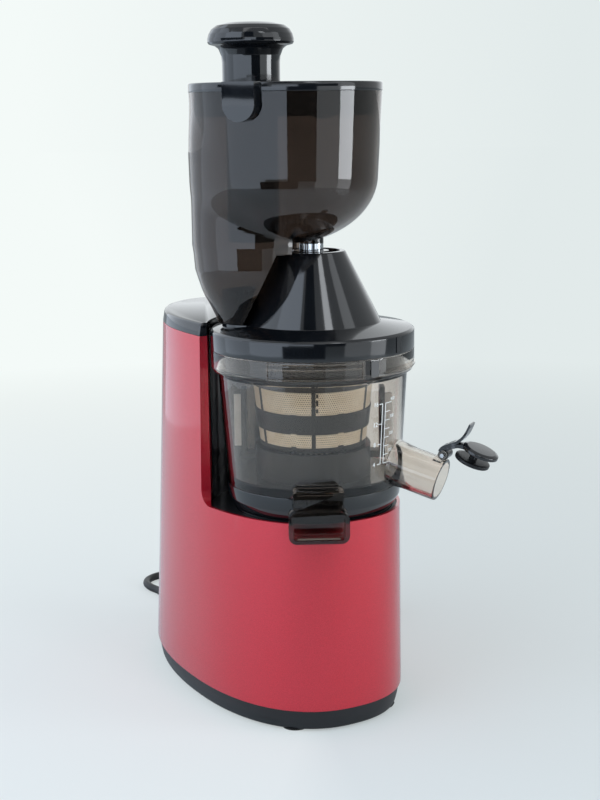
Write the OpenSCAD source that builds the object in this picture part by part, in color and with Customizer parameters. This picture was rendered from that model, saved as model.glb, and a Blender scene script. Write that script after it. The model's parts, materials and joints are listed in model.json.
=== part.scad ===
// Vertical cold press juicer: a motor base with a rear column, a juice bowl, a lid and a feed hopper.
// The origin lies on the floor, on the drive axis. +Z is up and the front is -Y. Sizes are in millimetres.

/* [Body] */
// Front reach of the body at its lower seam, from the drive axis
body_front = 63.5; // [61:0.5:66]
// Rear reach of the body at its lower seam
body_rear = 214; // [205:1:225]
// Half the body's width at its lower seam
body_half_w = 79; // [77:0.5:82]
// Front reach at the top of the column, were the front as tall
top_front = 64.5; // [62:0.5:67]
// Rear reach at the top of the column
top_rear = 180; // [172:1:190]
// Half width at the top of the column
top_half_w = 75; // [73.5:0.5:78]
// Distance from the drive axis back to the widest section
widest_y = 60; // [55:1:65]
// Height of the seam between the plinth and the shell
seam_z = 17; // [14:0.5:20]
// Height of the shell's front rim
deck_z = 161; // [156:1:164]
// Height of the underside of the column cap
column_z = 289.5; // [286:0.5:291]
// Thickness of the column cap
cap_h = 10; // [8:0.5:11]
// Wall of the painted shell
shell_wall = 2.4; // [2:0.1:2.8]
// Where the column's front edge stands, behind the drive axis
column_y = 39; // [30:1:40]
// Radius of the corner between rim and column
column_corner_r = 12; // [6:1:18]
// Radius of the concave wall behind the bowl
recess_r = 78.5; // [77.5:0.1:79]
// Wall of the recess liner
liner_wall = 2.5; // [2:0.1:3]
// Height of the rubber feet
foot_h = 2.5; // [2:0.5:4]
// Radius of the rubber feet
foot_r = 11; // [8:0.5:13]
// How far the plinth's lower edge stands inside the shell
plinth_inset = 4.5; // [3:0.5:8]
// Thickness of the plinth's floor
plinth_floor = 3; // [2.4:0.1:4]

/* [Drive] */
// Teeth of each pinion in the gear train
pinion_teeth = 15; // [15:1:17]
// Teeth of each large wheel in the gear train
wheel_teeth = 60; // [56:2:62]
// Gear module of the first stage
module_1 = 1; // [0.9:0.05:1]
// Gear module of the second stage
module_2 = 1.25; // [1.15:0.05:1.25]
// Play between the teeth
backlash = 0.3; // [0.2:0.05:0.4]
// Radius of the round part of the drive shaft
shaft_r = 7; // [6:0.5:8]
// Width across the flats of the drive hexagon
hex_w = 12; // [10:0.5:12.5]
// Radius of the motor's stator
stator_r = 36; // [34:0.5:38]
// Height of the stator
stator_h = 38; // [30:1:42]

/* [Bowl] */
// Height of the clear bowl's lower edge, on top of the black ring
bowl_z = 180; // [178:0.5:182]
// Outer radius at the lower edge
bowl_r = 65.8; // [65:0.1:66.5]
// Outer radius under the flange
bowl_top_r = 70.6; // [69.5:0.1:71]
// Height of the flange's underside
flange_z = 265; // [262:0.5:268]
// Outer radius of the flange
flange_r = 76; // [75:0.1:76.3]
// Wall of the bowl
bowl_wall = 3; // [2.4:0.1:3.4]
// Direction of the juice spout, turned from the front towards the right
juice_azimuth = 36; // [30:1:42]
// Outer radius of the juice spout
spout_r = 16; // [15:0.5:16.5]
// Distance from the drive axis to the spout's open end
spout_reach = 102; // [96:1:108]
// Slope of the juice spout below level
spout_slope = 15.5; // [12:0.5:18]
// Direction of the pulp spout, turned from the front towards the right
pulp_azimuth = -28; // [-34:1:-24]
// Width of the pulp spout's mouth
pulp_w = 43.5; // [40:0.5:46]
// Height of the pulp spout's mouth
pulp_h = 23; // [20:0.5:24]

/* [Strainer and auger] */
// Outer radius of the strainer at its top
strainer_top_r = 46.5; // [45:0.5:47.5]
// Outer radius of the strainer at its bottom
strainer_low_r = 40; // [38.5:0.5:41]
// Wall of the strainer
strainer_wall = 1.6; // [1.4:0.1:2]
// Teeth of the auger's sun gear
sun_teeth = 24; // [24:2:24]
// Teeth of the idler gear
idler_teeth = 18; // [18:2:18]
// Gear module of the wiper drive
module_3 = 1.25; // [1.15:0.05:1.25]
// Gap between the auger's flights and the strainer
auger_gap = 1.2; // [0.8:0.1:1.6]

/* [Lid and hopper] */
// Height of the lid band's lower edge
lid_z = 281; // [279:0.5:283]
// Height of the lid band
lid_h = 15; // [13:0.5:16]
// Radius of the cone's foot
cone_r = 50.8; // [49.5:0.1:52]
// Radius of the cone's top
cone_top_r = 25; // [24:0.5:27]
// Height of the cone's top
cone_z = 352.5; // [352:0.5:358]
// Wall of the lid and its cone
lid_wall = 2.5; // [2:0.1:3]
// Direction of the feed chute, turned from the front towards the right
chute_azimuth = -120; // [-125:1:-115]
// Distance from the drive axis to the centre of the cup
cup_offset = 17.7; // [17:0.1:18.5]
// Distance from the drive axis to the centre of the feed chute
chute_offset = 42.2; // [41.6:0.1:42.6]
// Outer radius of the hopper cup at its rim
cup_r = 70.2; // [69.6:0.1:71.5]
// Outer radius of the cup where its round bottom begins
cup_low_r = 67; // [66:0.1:68]
// Height at which the round bottom begins
cup_turn_z = 408; // [404:1:412]
// Depth of the cup's round bottom
cup_depth = 50; // [48:0.5:51]
// Height of the cup's rim
rim_z = 467.5; // [464:0.5:470]
// Wall of the hopper
hopper_wall = 2.6; // [2.2:0.1:3]
// Outer radius of the feed chute
chute_r = 45.6; // [45:0.1:46.5]
// Height of the hopper lid's band
band_h = 6.5; // [5.5:0.5:8]
// Width of the hopper lid's tabs
tab_w = 24; // [20:1:28]
// Length of the tabs
tab_l = 27; // [24:1:30]
// How far the tabs stand out
tab_out = 11; // [9:0.5:12]
// Radius of the pusher's stem in the chute
stem_r = 19; // [17:0.5:20]
// Length of the pusher's stem below the hopper lid
stem_l = 114; // [90:1:115]
// Radius of the knob's neck
neck_r = 21; // [20.5:0.5:22]
// Radius of the knob's brim
brim_r = 31.3; // [29:0.1:33]
// Height of the knob
knob_h = 42.8; // [40:0.1:46]

/* [Cord] */
// Diameter of the mains cord
cord_d = 7; // [6.4:0.1:7.2]
// Radius of the coil of spare cord, at the middle of its turns
coil_r = 38; // [36:0.5:40]
// Radius of the plug's body
plug_r = 18.5; // [18:0.5:19.5]

/* [Hidden] */
$fn = 96;
eps = 0.01;
// Gap between a piece and the one it sits in
seat = 0.05;
// Gap between pieces that move past each other
free = 0.3;
// Radial clearance of a running fit
run = 0.06;

// ---- heights and radii worked out from the sizes above ----
cap_top_z = column_z + cap_h;
deck_t = 8;
deck_low_z = deck_z - 1 - deck_t;
well_r = body_front - shell_wall - 1.2;
well_z = deck_z - 5;
ring_foot_r = well_r - 0.4;
stage_1 = module_1 * (pinion_teeth + wheel_teeth) / 2;
stage_2 = module_2 * (pinion_teeth + wheel_teeth) / 2;
motor_y = stage_1 + stage_2;
gearbox_z = 108;
gearbox_wall = 3;
gearbox_top_z = deck_low_z - 2;
wheel_1_z = gearbox_z + gearbox_wall + 2;
wheel_1_h = 8;
wheel_2_z = wheel_1_z + wheel_1_h + 3;
wheel_2_h = 13;
motor_z = 30;
motor_shaft_r = 4;
spindle_r = 4;
bearing_r = 13;
bearing_h = 7;
floor_t = 4;
bowl_floor_z = bowl_z + floor_t;
hub_r = 18;
bush_r = 15;
socket_r = 12;
hub_top_z = bowl_floor_z + 16;
gear_z = hub_top_z + 0.5;
gear_h = 6;
sun_r = module_3 * sun_teeth / 2;
idler_x = module_3 * (sun_teeth + idler_teeth) / 2;
ring_teeth = sun_teeth + 2 * idler_teeth;
ring_r = module_3 * ring_teeth / 2;
wiper_ring_r = ring_r + 6;
track_r = ring_r + 3;
strainer_z = gear_z + gear_h + 1;
strainer_top_z = flange_z - 3;
strainer_floor = 2.4;
wiper_in_r = strainer_top_r + 4;
wiper_out_r = wiper_in_r + 4;
auger_z = strainer_z + strainer_floor + 0.6;
bowl_in_r = bowl_r - bowl_wall;
flange_in_r = flange_r - 5;
lid_top_z = lid_z + lid_h;
collar_z = lid_top_z + 4;
pin_r = 9;
hopper_gap = 0.4;
rim_top_z = rim_z + band_h;
knob_z = rim_top_z;
stem_wall = 2;
cup_x = cup_offset * sin(chute_azimuth);
cup_y = -cup_offset * cos(chute_azimuth);
chute_x = chute_offset * sin(chute_azimuth);
chute_y = -chute_offset * cos(chute_azimuth);
spout_z = bowl_z + 16;
spout_root = bowl_r + 4.2;
spout_axis_l = (spout_reach - spout_root) / cos(spout_slope);
spout_wall = 2.5;
hinge_r = 1.5;
hinge_x = spout_reach + 3;
hinge_z = spout_z - spout_axis_l * sin(spout_slope) + spout_r + 4.2;

// The cord: out of its gland, down to the floor, round one loose bend and on to the coil
cord_route = [[0, 226, 36], [0, 238, 34], [0, 250, 27], [1, 264, 16], [3, 279, 7], [4, 290, 4],
    [4, 302, 3.6], [2, 316, 3.6], [5, 330, 3.6], [15, 340, 3.6], [29, 343, 3.6], [43, 340, 3.6],
    [63, 333, 3.6], [84, 321, 3.6], [102, 303, 3.6], [117, 280, 3.6], [134.4, 258.2, 3.6]];
coil_centre = [100, 235];
coil_h = 3 * cord_d;
coil_out_r = coil_r + cord_d;
coil_in_r = coil_r - cord_d;
plug_x = coil_centre[0] + coil_r + cord_d / 2;
plug_y = coil_centre[1] - 27;
lead_l = 20;

// ---- curves and shared shapes ----
function blend(a, b, t) = a + (b - a) * t;
function turned(p, a) = [p[0] * cos(a) - p[1] * sin(a), p[0] * sin(a) + p[1] * cos(a)];
function wave(c, n) = sign(c) * pow(abs(c), 2 / n);

// The body's outline at a height: a superellipse with a short front half and a long rear half
front_power = 2.34;
rear_power = 2.06;
function rise(z) = (z - seam_z) / (column_z - seam_z);
function outline(z, inset, count = 72) =
    let (front = blend(body_front, top_front, rise(z)) - inset + widest_y,
        rear = blend(body_rear, top_rear, rise(z)) - inset - widest_y,
        half = blend(body_half_w, top_half_w, rise(z)) - inset)
    [for (i = [0:count - 1]) let (a = 360 * i / count, c = cos(a), n = c > 0 ? front_power : rear_power)
        [half * wave(sin(a), n), widest_y - (c > 0 ? front : rear) * wave(c, n)]];

// A solid between two outlines with as many points each
module loft(low, low_z, high, high_z) {
    n = len(low);
    polyhedron(
        points = concat([for (p = low) [p[0], p[1], low_z]], [for (p = high) [p[0], p[1], high_z]]),
        faces = concat([[for (i = [0:n - 1]) i]], [[for (i = [0:n - 1]) 2 * n - 1 - i]],
            [for (i = [0:n - 1]) let (j = (i + 1) % n) [i, n + i, n + j]],
            [for (i = [0:n - 1]) let (j = (i + 1) % n) [i, n + j, j]]));
}
module body_loft(low_z, high_z, inset = 0) {
    loft(outline(low_z, inset), low_z, outline(high_z, inset), high_z);
}

// What is cut from the front above the rim: its side view has one round corner
module front_space(z_top) {
    arc = [for (a = [-90:7.5:0])
        [column_y - column_corner_r + column_corner_r * cos(a),
            deck_z + column_corner_r + column_corner_r * sin(a)]];
    rotate([90, 0, 90])
        linear_extrude(height = 400, center = true)
            polygon(concat([[-200, z_top], [-200, deck_z]], arc, [[column_y, z_top]]));
}

module ring(r_out, r_in, z, h) {
    translate([0, 0, z])
        difference() {
            cylinder(r = r_out, h = h);
            translate([0, 0, -1])
                cylinder(r = r_in, h = h + 2);
        }
}

module revolve(points) {
    rotate_extrude()
        polygon(points);
}

// Moves what faces the front (-Y) round to an azimuth
module facing(azimuth) {
    rotate([0, 0, azimuth])
        children();
}

// Involute gear teeth
pressure_angle = 20;
function involute(a) = tan(a) - a * PI / 180;
function half_tooth(teeth, m, r, play) =
    let (base = m * teeth / 2 * cos(pressure_angle), bite = min(1, base / r))
    90 / teeth - play / (m * teeth) * 90 / PI * 2
        + (involute(pressure_angle) - involute(acos(bite))) * 180 / PI;
function tooth(teeth, m, root, tip, play) =
    let (start = max(root, m * teeth / 2 * cos(pressure_angle)), radii = [start, (start + tip) / 2, tip],
        root_half = half_tooth(teeth, m, start, play))
    concat(root < start ? [[root, -root_half]] : [],
        [for (r = radii) [r, -half_tooth(teeth, m, r, play)]],
        [for (i = [2:-1:0]) [radii[i], half_tooth(teeth, m, radii[i], play)]],
        root < start ? [[root, root_half]] : []);
function gear_outline(teeth, m, root, tip, play) =
    [for (i = [0:teeth - 1], p = tooth(teeth, m, root, tip, play))
        [p[0] * cos(p[1] + 360 * i / teeth), p[0] * sin(p[1] + 360 * i / teeth)]];
module spur_gear(teeth, m, h, turn, bore_r) {
    difference() {
        rotate([0, 0, turn])
            linear_extrude(height = h)
                polygon(gear_outline(teeth, m, m * (teeth / 2 - 1.2), m * (teeth / 2 + 0.9), backlash / 2));
        translate([0, 0, -1])
            cylinder(r = bore_r, h = h + 2);
    }
}

// A closed skin over rings of points, each ring running anticlockwise seen along the sweep
module skin(rings) {
    sides = len(rings[0]);
    last = len(rings) - 1;
    polyhedron(
        points = [for (g = rings, p = g) p],
        faces = concat([[for (k = [0:sides - 1]) sides - 1 - k]],
            [[for (k = [0:sides - 1]) last * sides + k]],
            [for (i = [0:last - 1], k = [0:sides - 1]) let (n = (k + 1) % sides)
                [i * sides + k, i * sides + n, (i + 1) * sides + n]],
            [for (i = [0:last - 1], k = [0:sides - 1]) let (n = (k + 1) % sides)
                [i * sides + k, (i + 1) * sides + n, (i + 1) * sides + k]]));
}

// A tube swept along points, with the ring planes halving each bend
function unit(v) = v / norm(v);
module sweep(points, r, sides = 10) {
    last = len(points) - 1;
    skin([for (i = [0:last])
        let (t = unit(points[min(i + 1, last)] - points[max(i - 1, 0)]), side = unit(cross(t, [0, 0, 1])),
            up = cross(side, t))
        [for (k = [0:sides - 1]) points[i] + r * (side * cos(360 * k / sides) + up * sin(360 * k / sides))]]);
}

// ---- motor base ----
gland_z = 36;
gland_r = 7;
switch_z = 78;
switch_w = 18;
switch_h = 30;
bezel_edge = 3.5;
switch_tilt = atan((body_rear - top_rear) / (column_z - seam_z));
function rear_at(z) = blend(body_rear, top_rear, rise(z));
module at_switch() {
    translate([0, rear_at(switch_z), switch_z])
        rotate([switch_tilt, 0, 0])
            children();
}
module block(w, d, h) {
    translate([-w / 2, -d / 2, -h / 2])
        cube([w, d, h]);
}

module body_shell() {
    color("crimson")
        difference() {
            body_loft(seam_z, column_z);
            body_loft(seam_z - 1, column_z + 1, shell_wall);
            front_space(column_z + 2);
            translate([0, 0, deck_z + column_corner_r])
                cylinder(r = recess_r, h = column_z);
            translate([0, rear_at(gland_z) - 20, gland_z])
                rotate([-90, 0, 0])
                    cylinder(r = gland_r + seat, h = 40);
            at_switch()
                block(switch_w + 2 * bezel_edge - 2, 40, switch_h + 2 * bezel_edge - 2);
        }
}

module recess_liner() {
    color("black")
        intersection() {
            difference() {
                body_loft(deck_z - 1, column_z, shell_wall + seat);
                front_space(column_z + 2);
            }
            ring(recess_r + liner_wall, recess_r, deck_z - 1, column_z - deck_z + 1);
        }
}

module column_cap() {
    color("dimgray")
        difference() {
            union() {
                loft(outline(column_z, 0), column_z, outline(column_z, 1.2), cap_top_z);
                body_loft(column_z - 5, column_z, shell_wall + seat);
            }
            body_loft(column_z - 6, column_z + cap_h - 4, shell_wall + 2.4);
            front_space(cap_top_z + 1);
            translate([0, 0, column_z - 10])
                cylinder(r = recess_r, h = cap_h + 20);
            translate([0, 0, column_z - 10])
                cylinder(r = recess_r + liner_wall + seat, h = 10 - eps);
        }
}

lug_r = 52;
deck_gap = 0.25;
module deck_plate() {
    color("black") {
        difference() {
            body_loft(deck_low_z, deck_z - 1, shell_wall + deck_gap);
            translate([0, 0, well_z])
                cylinder(r = well_r, h = 20);
            translate([0, 0, deck_low_z - 1])
                cylinder(r = bearing_r + 2, h = 30);
        }
        // Three blocks that the bowl's ring locks round
        for (a = [0, 120, 240])
            facing(a)
                translate([-9, -lug_r - 4, well_z - eps])
                    cube([18, 8, 9]);
    }
}

plinth_z = foot_h - 1;
module plinth() {
    color("black")
        difference() {
            loft(outline(seam_z, plinth_inset), plinth_z, outline(seam_z, 1), seam_z);
            loft(outline(seam_z, plinth_inset + 3), plinth_z + plinth_floor, outline(seam_z, 3.4), seam_z + eps);
            // Air slots in the floor, under the motor
            for (i = [-4:4])
                translate([i * 9 - 2, motor_y - 28, 0])
                    cube([4, 56, seam_z - 1]);
            at_feet()
                cylinder(r = 2.2, h = 30);
        }
}

module at_feet() {
    for (p = [[-38, -34], [38, -34], [-46, 150], [46, 150]])
        translate(p)
            children();
}

module rubber_feet() {
    color("black") {
        at_feet()
            difference() {
                cylinder(r1 = foot_r - 1, r2 = foot_r, h = plinth_z);
                translate([0, 0, -1])
                    cylinder(r = 4, h = 3);
            }
        // Glued pad under the drive axis, where the pusher presses
        cylinder(r1 = foot_r - 1, r2 = foot_r, h = plinth_z);
    }
}

module base_screws() {
    color("silver")
        at_feet()
            translate([0, 0, plinth_z + plinth_floor + seat]) {
                cylinder(r = 4, h = 2.4);
                translate([0, 0, -plinth_floor])
                    cylinder(r = 2.2 - 2 * seat, h = plinth_floor);
            }
}

module at_motor(z) {
    translate([0, motor_y, z])
        children();
}
rotor_r = 20;
stator_z = motor_z + 18;
module motor_stator() {
    color("silver")
        at_motor(stator_z)
            difference() {
                cylinder(r = stator_r, h = stator_h);
                translate([0, 0, -1])
                    cylinder(r = rotor_r + 0.5, h = stator_h + 2);
                for (i = [0:11])
                    rotate([0, 0, 30 * i])
                        translate([rotor_r + 3, -2.5, -1])
                            cube([8, 5, stator_h + 2]);
            }
}

module motor_windings() {
    color("orangered")
        at_motor(0)
            for (z = [stator_z - 9, stator_z + stator_h])
                ring(rotor_r + 11, rotor_r + 3, z, 9);
}

frame_low_z = motor_z + 5;
frame_top_z = stator_z + stator_h + 10;
module motor_frame() {
    color("gainsboro")
        at_motor(0) {
            // End plates that hold the shaft, four pillars beside the stator and posts under the gearbox
            for (z = [frame_low_z, frame_top_z])
                ring(stator_r + 2, motor_shaft_r + run, z, 3);
            for (a = [45:90:315])
                rotate([0, 0, a]) {
                        translate([stator_r + 0.2, -4, frame_low_z + 3])
                            cube([1.8, 8, frame_top_z - frame_low_z - 3]);
                        translate([stator_r - 8, 0, frame_top_z + 3])
                            cylinder(r = 4, h = gearbox_z - frame_top_z - 3);
                    }
        }
}

module motor_mounts() {
    color("black")
        at_motor(plinth_z + plinth_floor)
            for (a = [45:90:315])
                rotate([0, 0, a])
                    translate([stator_r - 6, 0, 0])
                        cylinder(r = 6, h = frame_low_z - plinth_z - plinth_floor);
}

gearbox_half_w = 36;
module gearbox_outline(inset) {
    hull() {
        circle(r = module_2 * wheel_teeth / 2 + 7 - inset);
        translate([0, motor_y - 4])
            circle(r = gearbox_half_w - inset);
    }
}
module at_gearbox_screws() {
    for (p = [[-45, 20], [45, 20], [-40, 60], [40, 60], [0, -47], [0, motor_y + 36]])
        translate(p)
            children();
}
screw_boss_r = 5;
module gearbox_housing() {
    color("gainsboro")
        difference() {
            union() {
                translate([0, 0, gearbox_z])
                    linear_extrude(height = gearbox_top_z - gearbox_z - gearbox_wall)
                        gearbox_outline(0);
                at_gearbox_screws()
                    translate([0, 0, gearbox_z])
                        cylinder(r = screw_boss_r, h = gearbox_top_z - gearbox_z - gearbox_wall);
            }
            translate([0, 0, gearbox_z + gearbox_wall])
                linear_extrude(height = 60)
                    gearbox_outline(gearbox_wall);
            translate([0, 0, gearbox_z - 1])
                cylinder(r = shaft_r + run, h = 10);
            at_motor(gearbox_z - 1)
                cylinder(r = motor_shaft_r + 1, h = 10);
            translate([0, stage_2, gearbox_z - 1])
                cylinder(r = spindle_r + seat, h = 10);
        }
}

module gearbox_cover() {
    color("silver")
        difference() {
            union() {
                translate([0, 0, gearbox_top_z - gearbox_wall])
                    linear_extrude(height = gearbox_wall)
                        gearbox_outline(0);
                at_gearbox_screws()
                    translate([0, 0, gearbox_top_z - gearbox_wall])
                        cylinder(r = screw_boss_r, h = gearbox_wall);
                // Tower that holds the upper bearing in the deck
                translate([0, 0, gearbox_top_z - gearbox_wall])
                    cylinder(r = bearing_r + 2 - seat, h = gearbox_wall + 9);
            }
            translate([0, 0, gearbox_top_z - gearbox_wall - 1])
                cylinder(r = bearing_r + seat, h = 30);
            translate([0, stage_2, gearbox_top_z - gearbox_wall - 1])
                cylinder(r = spindle_r + seat, h = 10);
            at_gearbox_screws()
                translate([0, 0, gearbox_top_z - gearbox_wall - 1])
                    cylinder(r = 1.6, h = 10);
        }
}

module gearbox_screws() {
    color("silver")
        at_gearbox_screws()
            translate([0, 0, gearbox_top_z - gearbox_wall]) {
                cylinder(r = 1.6 - seat, h = gearbox_wall);
                translate([0, 0, gearbox_wall])
                    cylinder(r = 3, h = 1.8);
            }
}

bearing_z = gearbox_top_z - gearbox_wall;
module drive_bearings() {
    color("silver")
        ring(bearing_r, shaft_r + run, bearing_z, bearing_h);
}

module shaft_seal() {
    color("black")
        ring(bearing_r, shaft_r + run, bearing_z + bearing_h, 3);
}

board_y = 128;
module control_board() {
    color("darkgreen") {
        // Board standing in the column, on the deck, with three small components
        translate([-38, board_y, deck_z - 1])
            cube([76, 2, 96]);
        for (p = [[-22, 20], [4, 36], [14, 66]])
            translate([p[0], board_y - 12, deck_z - 1 + p[1]])
                cube([14, 12, 18]);
    }
}
module run_capacitor() {
    color("lightgray")
        translate([0, board_y + 2 + 16 + seat, deck_z - 1])
            cylinder(r = 16, h = 60);
}

safety_w = 20;
module safety_switch() {
    color("dimgray")
        translate([-safety_w / 2, recess_r + liner_wall + seat, column_z - 30])
            cube([safety_w, 8, 16]);
}

module switch_bezel() {
    color("black")
        at_switch()
            difference() {
                union() {
                    translate([0, 1, 0])
                        block(switch_w + 2 * bezel_edge, 2, switch_h + 2 * bezel_edge);
                    translate([0, -5, 0])
                        block(switch_w + 2 * bezel_edge - 2.2, 10, switch_h + 2 * bezel_edge - 2.2);
                }
                translate([0, -3, 0])
                    block(switch_w, 12.5, switch_h);
            }
}

rocker_gap = 0.6;
rocker_swing = 8;
module rocker() {
    color("black")
        at_switch()
            translate([0, -3, 0])
                intersection() {
                    block(switch_w - 2 * rocker_gap, 12, switch_h - 5);
                    rotate([0, 90, 0])
                        cylinder(r = 12.4, h = switch_w, center = true);
                    translate([0, 2.6, 0])
                        block(switch_w, 6.8, switch_h);
                }
}

module cord_gland() {
    color("black")
        translate([0, rear_at(gland_z) - shell_wall - 4, gland_z])
            rotate([-90, 0, 0])
                difference() {
                    union() {
                        cylinder(r = gland_r, h = 10);
                        translate([0, 0, shell_wall + 5])
                            cylinder(r = gland_r + 2, h = 2.5);
                        translate([0, 0, shell_wall + 7])
                            cylinder(r1 = gland_r, r2 = cord_d / 2 + 1.2,
                                h = cord_route[0][1] - rear_at(gland_z) - 3.7);
                    }
                    translate([0, 0, -1])
                        cylinder(r = cord_d / 2, h = 5);
                }
}

module power_cord() {
    color("black")
        sweep(cord_route, cord_d / 2);
}

module cord_coil() {
    color("black") {
        translate([coil_centre[0], coil_centre[1], 0])
            revolve([[coil_in_r, 0], [coil_out_r, 0], [coil_out_r, coil_h], [coil_in_r, coil_h]]);
        // The end of the last turn, which runs straight to the plug
        translate([plug_x, plug_y, coil_h - cord_d / 2 + 0.5])
            rotate([-90, 0, 0])
                cylinder(r = cord_d / 2, h = lead_l);
    }
}

plug_sleeve_l = 22;
plug_l = 30;
module at_plug() {
    translate([plug_x, plug_y, plug_r])
        rotate([90, 0, 0])
            children();
}
module plug_body() {
    color("black")
        at_plug() {
            cylinder(r1 = cord_d / 2 + 0.6, r2 = 9, h = plug_sleeve_l);
            translate([0, 0, plug_sleeve_l])
                cylinder(r1 = 12, r2 = plug_r, h = 8);
            translate([0, 0, plug_sleeve_l + 8])
                cylinder(r = plug_r, h = plug_l - 8);
        }
}
pin_spacing = 19;
module plug_pins() {
    color("silver")
        at_plug()
            for (x = [-pin_spacing / 2, pin_spacing / 2])
                translate([x, 0, plug_sleeve_l + plug_l])
                    cylinder(r = 2.4, h = 19);
}

// ---- motor and gear train ----
module motor_rotor() {
    color("silver")
        at_motor(0) {
            translate([0, 0, stator_z])
                cylinder(r = rotor_r, h = stator_h);
            translate([0, 0, frame_low_z - 6])
                cylinder(r = motor_shaft_r, h = wheel_1_z + wheel_1_h + 1 - frame_low_z + 6);
        }
}

module motor_fan() {
    color("white")
        at_motor(frame_low_z - 9) {
            ring(9, motor_shaft_r + seat, 3, 5);
            for (i = [0:8])
                rotate([0, 0, 40 * i])
                    translate([8, -0.8, 3])
                        cube([14, 1.6, 5]);
        }
}

module motor_pinion() {
    color("goldenrod")
        at_motor(wheel_1_z)
            spur_gear(pinion_teeth, module_1, wheel_1_h + 1, -90 + 180 / pinion_teeth, motor_shaft_r + seat);
}

module intermediate_gear() {
    color("goldenrod")
        translate([0, stage_2, wheel_1_z]) {
            spur_gear(wheel_teeth, module_1, wheel_1_h, 90, spindle_r + run);
            translate([0, 0, wheel_1_h])
                spur_gear(pinion_teeth, module_2, wheel_2_z + wheel_2_h - wheel_1_z - wheel_1_h,
                    -90 + 180 / pinion_teeth, spindle_r + run);
        }
}

module intermediate_spindle() {
    color("silver")
        translate([0, stage_2, gearbox_z])
            cylinder(r = spindle_r, h = gearbox_top_z - gearbox_z);
}

module output_gear() {
    color("goldenrod")
        translate([0, 0, wheel_2_z])
            spur_gear(wheel_teeth, module_2, wheel_2_h, 90, shaft_r + seat);
}

hex_top_z = hub_top_z - 3;
module drive_shaft() {
    color("silver") {
        translate([0, 0, gearbox_z])
            cylinder(r = shaft_r, h = bearing_z + bearing_h + 3 - gearbox_z);
        translate([0, 0, bearing_z + bearing_h + 3])
            rotate([0, 0, 30])
                cylinder(r = hex_w / 2 / cos(30), h = hex_top_z - bearing_z - bearing_h - 3, $fn = 6);
    }
}

// ---- juice bowl ----
module bowl_base() {
    color("darkslategray")
        difference() {
            revolve([[ring_foot_r - 7, well_z], [ring_foot_r, well_z], [ring_foot_r, deck_z + 0.6],
                [ring_foot_r + 2.6, deck_z + 3], [bowl_r - 0.6, deck_z + 9], [bowl_r, bowl_z], [hub_r + 1, bowl_z],
                [hub_r + 1, bowl_z - 4], [ring_foot_r - 4, bowl_z - 4], [ring_foot_r - 4, well_z + 6],
                [ring_foot_r - 7, well_z + 6]]);
            // Room for the deck's three blocks
            for (a = [0, 120, 240])
                facing(a)
                    translate([-14, -lug_r - 5, well_z - 1])
                        cube([28, 10, 12]);
            facing(pulp_azimuth)
                translate([-pulp_neck_w / 2 - 0.2, -90, bowl_z - 5 - pulp_neck_drop])
                    cube([pulp_neck_w + 0.4, 42, 30]);
        }
}

pulp_neck_w = 36;
pulp_neck_drop = 2;
pulp_floor_z = bowl_z - 8;
pulp_mouth_z = deck_z - 9;
pulp_wall = 3.2;
pulp_reach = 85;
pulp_face = body_front + 4.5;
module at_juice_spout() {
    facing(juice_azimuth)
        translate([0, -spout_root, spout_z])
            rotate([90 + spout_slope, 0, 0])
                children();
}
lug_azimuth = [30, 150, 270];
module juice_bowl() {
    color([0.5, 0.47, 0.43, 0.5])
        difference() {
            union() {
                revolve([[hub_r, bowl_z], [bowl_r, bowl_z], [bowl_top_r, flange_z - 3], [bowl_top_r, flange_z],
                    [flange_r - 1.6, flange_z], [flange_r, flange_z + 3], [flange_r, lid_z - 0.1],
                    [flange_in_r, lid_z - 0.1], [flange_in_r, flange_z + 3],
                    [bowl_top_r - bowl_wall, flange_z - 3], [bowl_r - bowl_wall, bowl_floor_z],
                    [hub_r, bowl_floor_z]]);
                ring(hub_r, bush_r, bowl_z, hub_top_z - bowl_z);
                ring(track_r - 0.2, track_r - 3, bowl_floor_z - 1, hub_top_z - bowl_floor_z - 1);
                // Post that carries the idler gear
                facing(idler_azimuth)
                    translate([0, -idler_x, bowl_floor_z - 1])
                        cylinder(r = idler_post_r, h = gear_z + gear_h - bowl_floor_z + 0.5);
                facing(idler_azimuth)
                    translate([0, -idler_x, bowl_floor_z - 1])
                        cylinder(r = idler_post_r + 3, h = gear_z - free - bowl_floor_z + 1);
                at_juice_spout()
                    translate([0, 0, -6])
                        cylinder(r = spout_r, h = spout_axis_l + 6);
                // Ears for the cap's hinge pin
                facing(juice_azimuth)
                    for (x = [-cap_ear_x - 2, cap_ear_x])
                        hull() {
                            translate([x, -hinge_x, hinge_z])
                                rotate([0, 90, 0])
                                    cylinder(r = 3.2, h = 2, $fn = 32);
                            translate([x, -hinge_x + 4, hinge_z - 8.5])
                                cube([2, 4, 4]);
                        }
            }
            at_juice_spout()
                translate([0, 0, -14])
                    cylinder(r = spout_r - spout_wall, h = spout_axis_l + 20);
            facing(juice_azimuth)
                translate([-40, -hinge_x, hinge_z])
                    rotate([0, 90, 0])
                        cylinder(r = hinge_r + seat, h = 80);
            // Way out for the pulp
            facing(pulp_azimuth)
                translate([-pulp_neck_w / 2 + pulp_wall, -90, bowl_z - 2])
                    cube([pulp_neck_w - 2 * pulp_wall, 42, 12]);
            facing(pulp_azimuth)
                translate([-pulp_neck_w / 2 - 0.1, -90, bowl_z - 5])
                    cube([pulp_neck_w + 0.2, 28, 13.1]);
        }
}

idler_azimuth = 150;
idler_post_r = 3;
module bowl_bush() {
    color("ivory")
        ring(bush_r - seat, socket_r + run, bowl_z, hub_top_z - bowl_z);
}

module bowl_seal() {
    color("white")
        ring(hub_r + 2, hub_r + 0.2, bowl_floor_z, 2);
}

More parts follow.
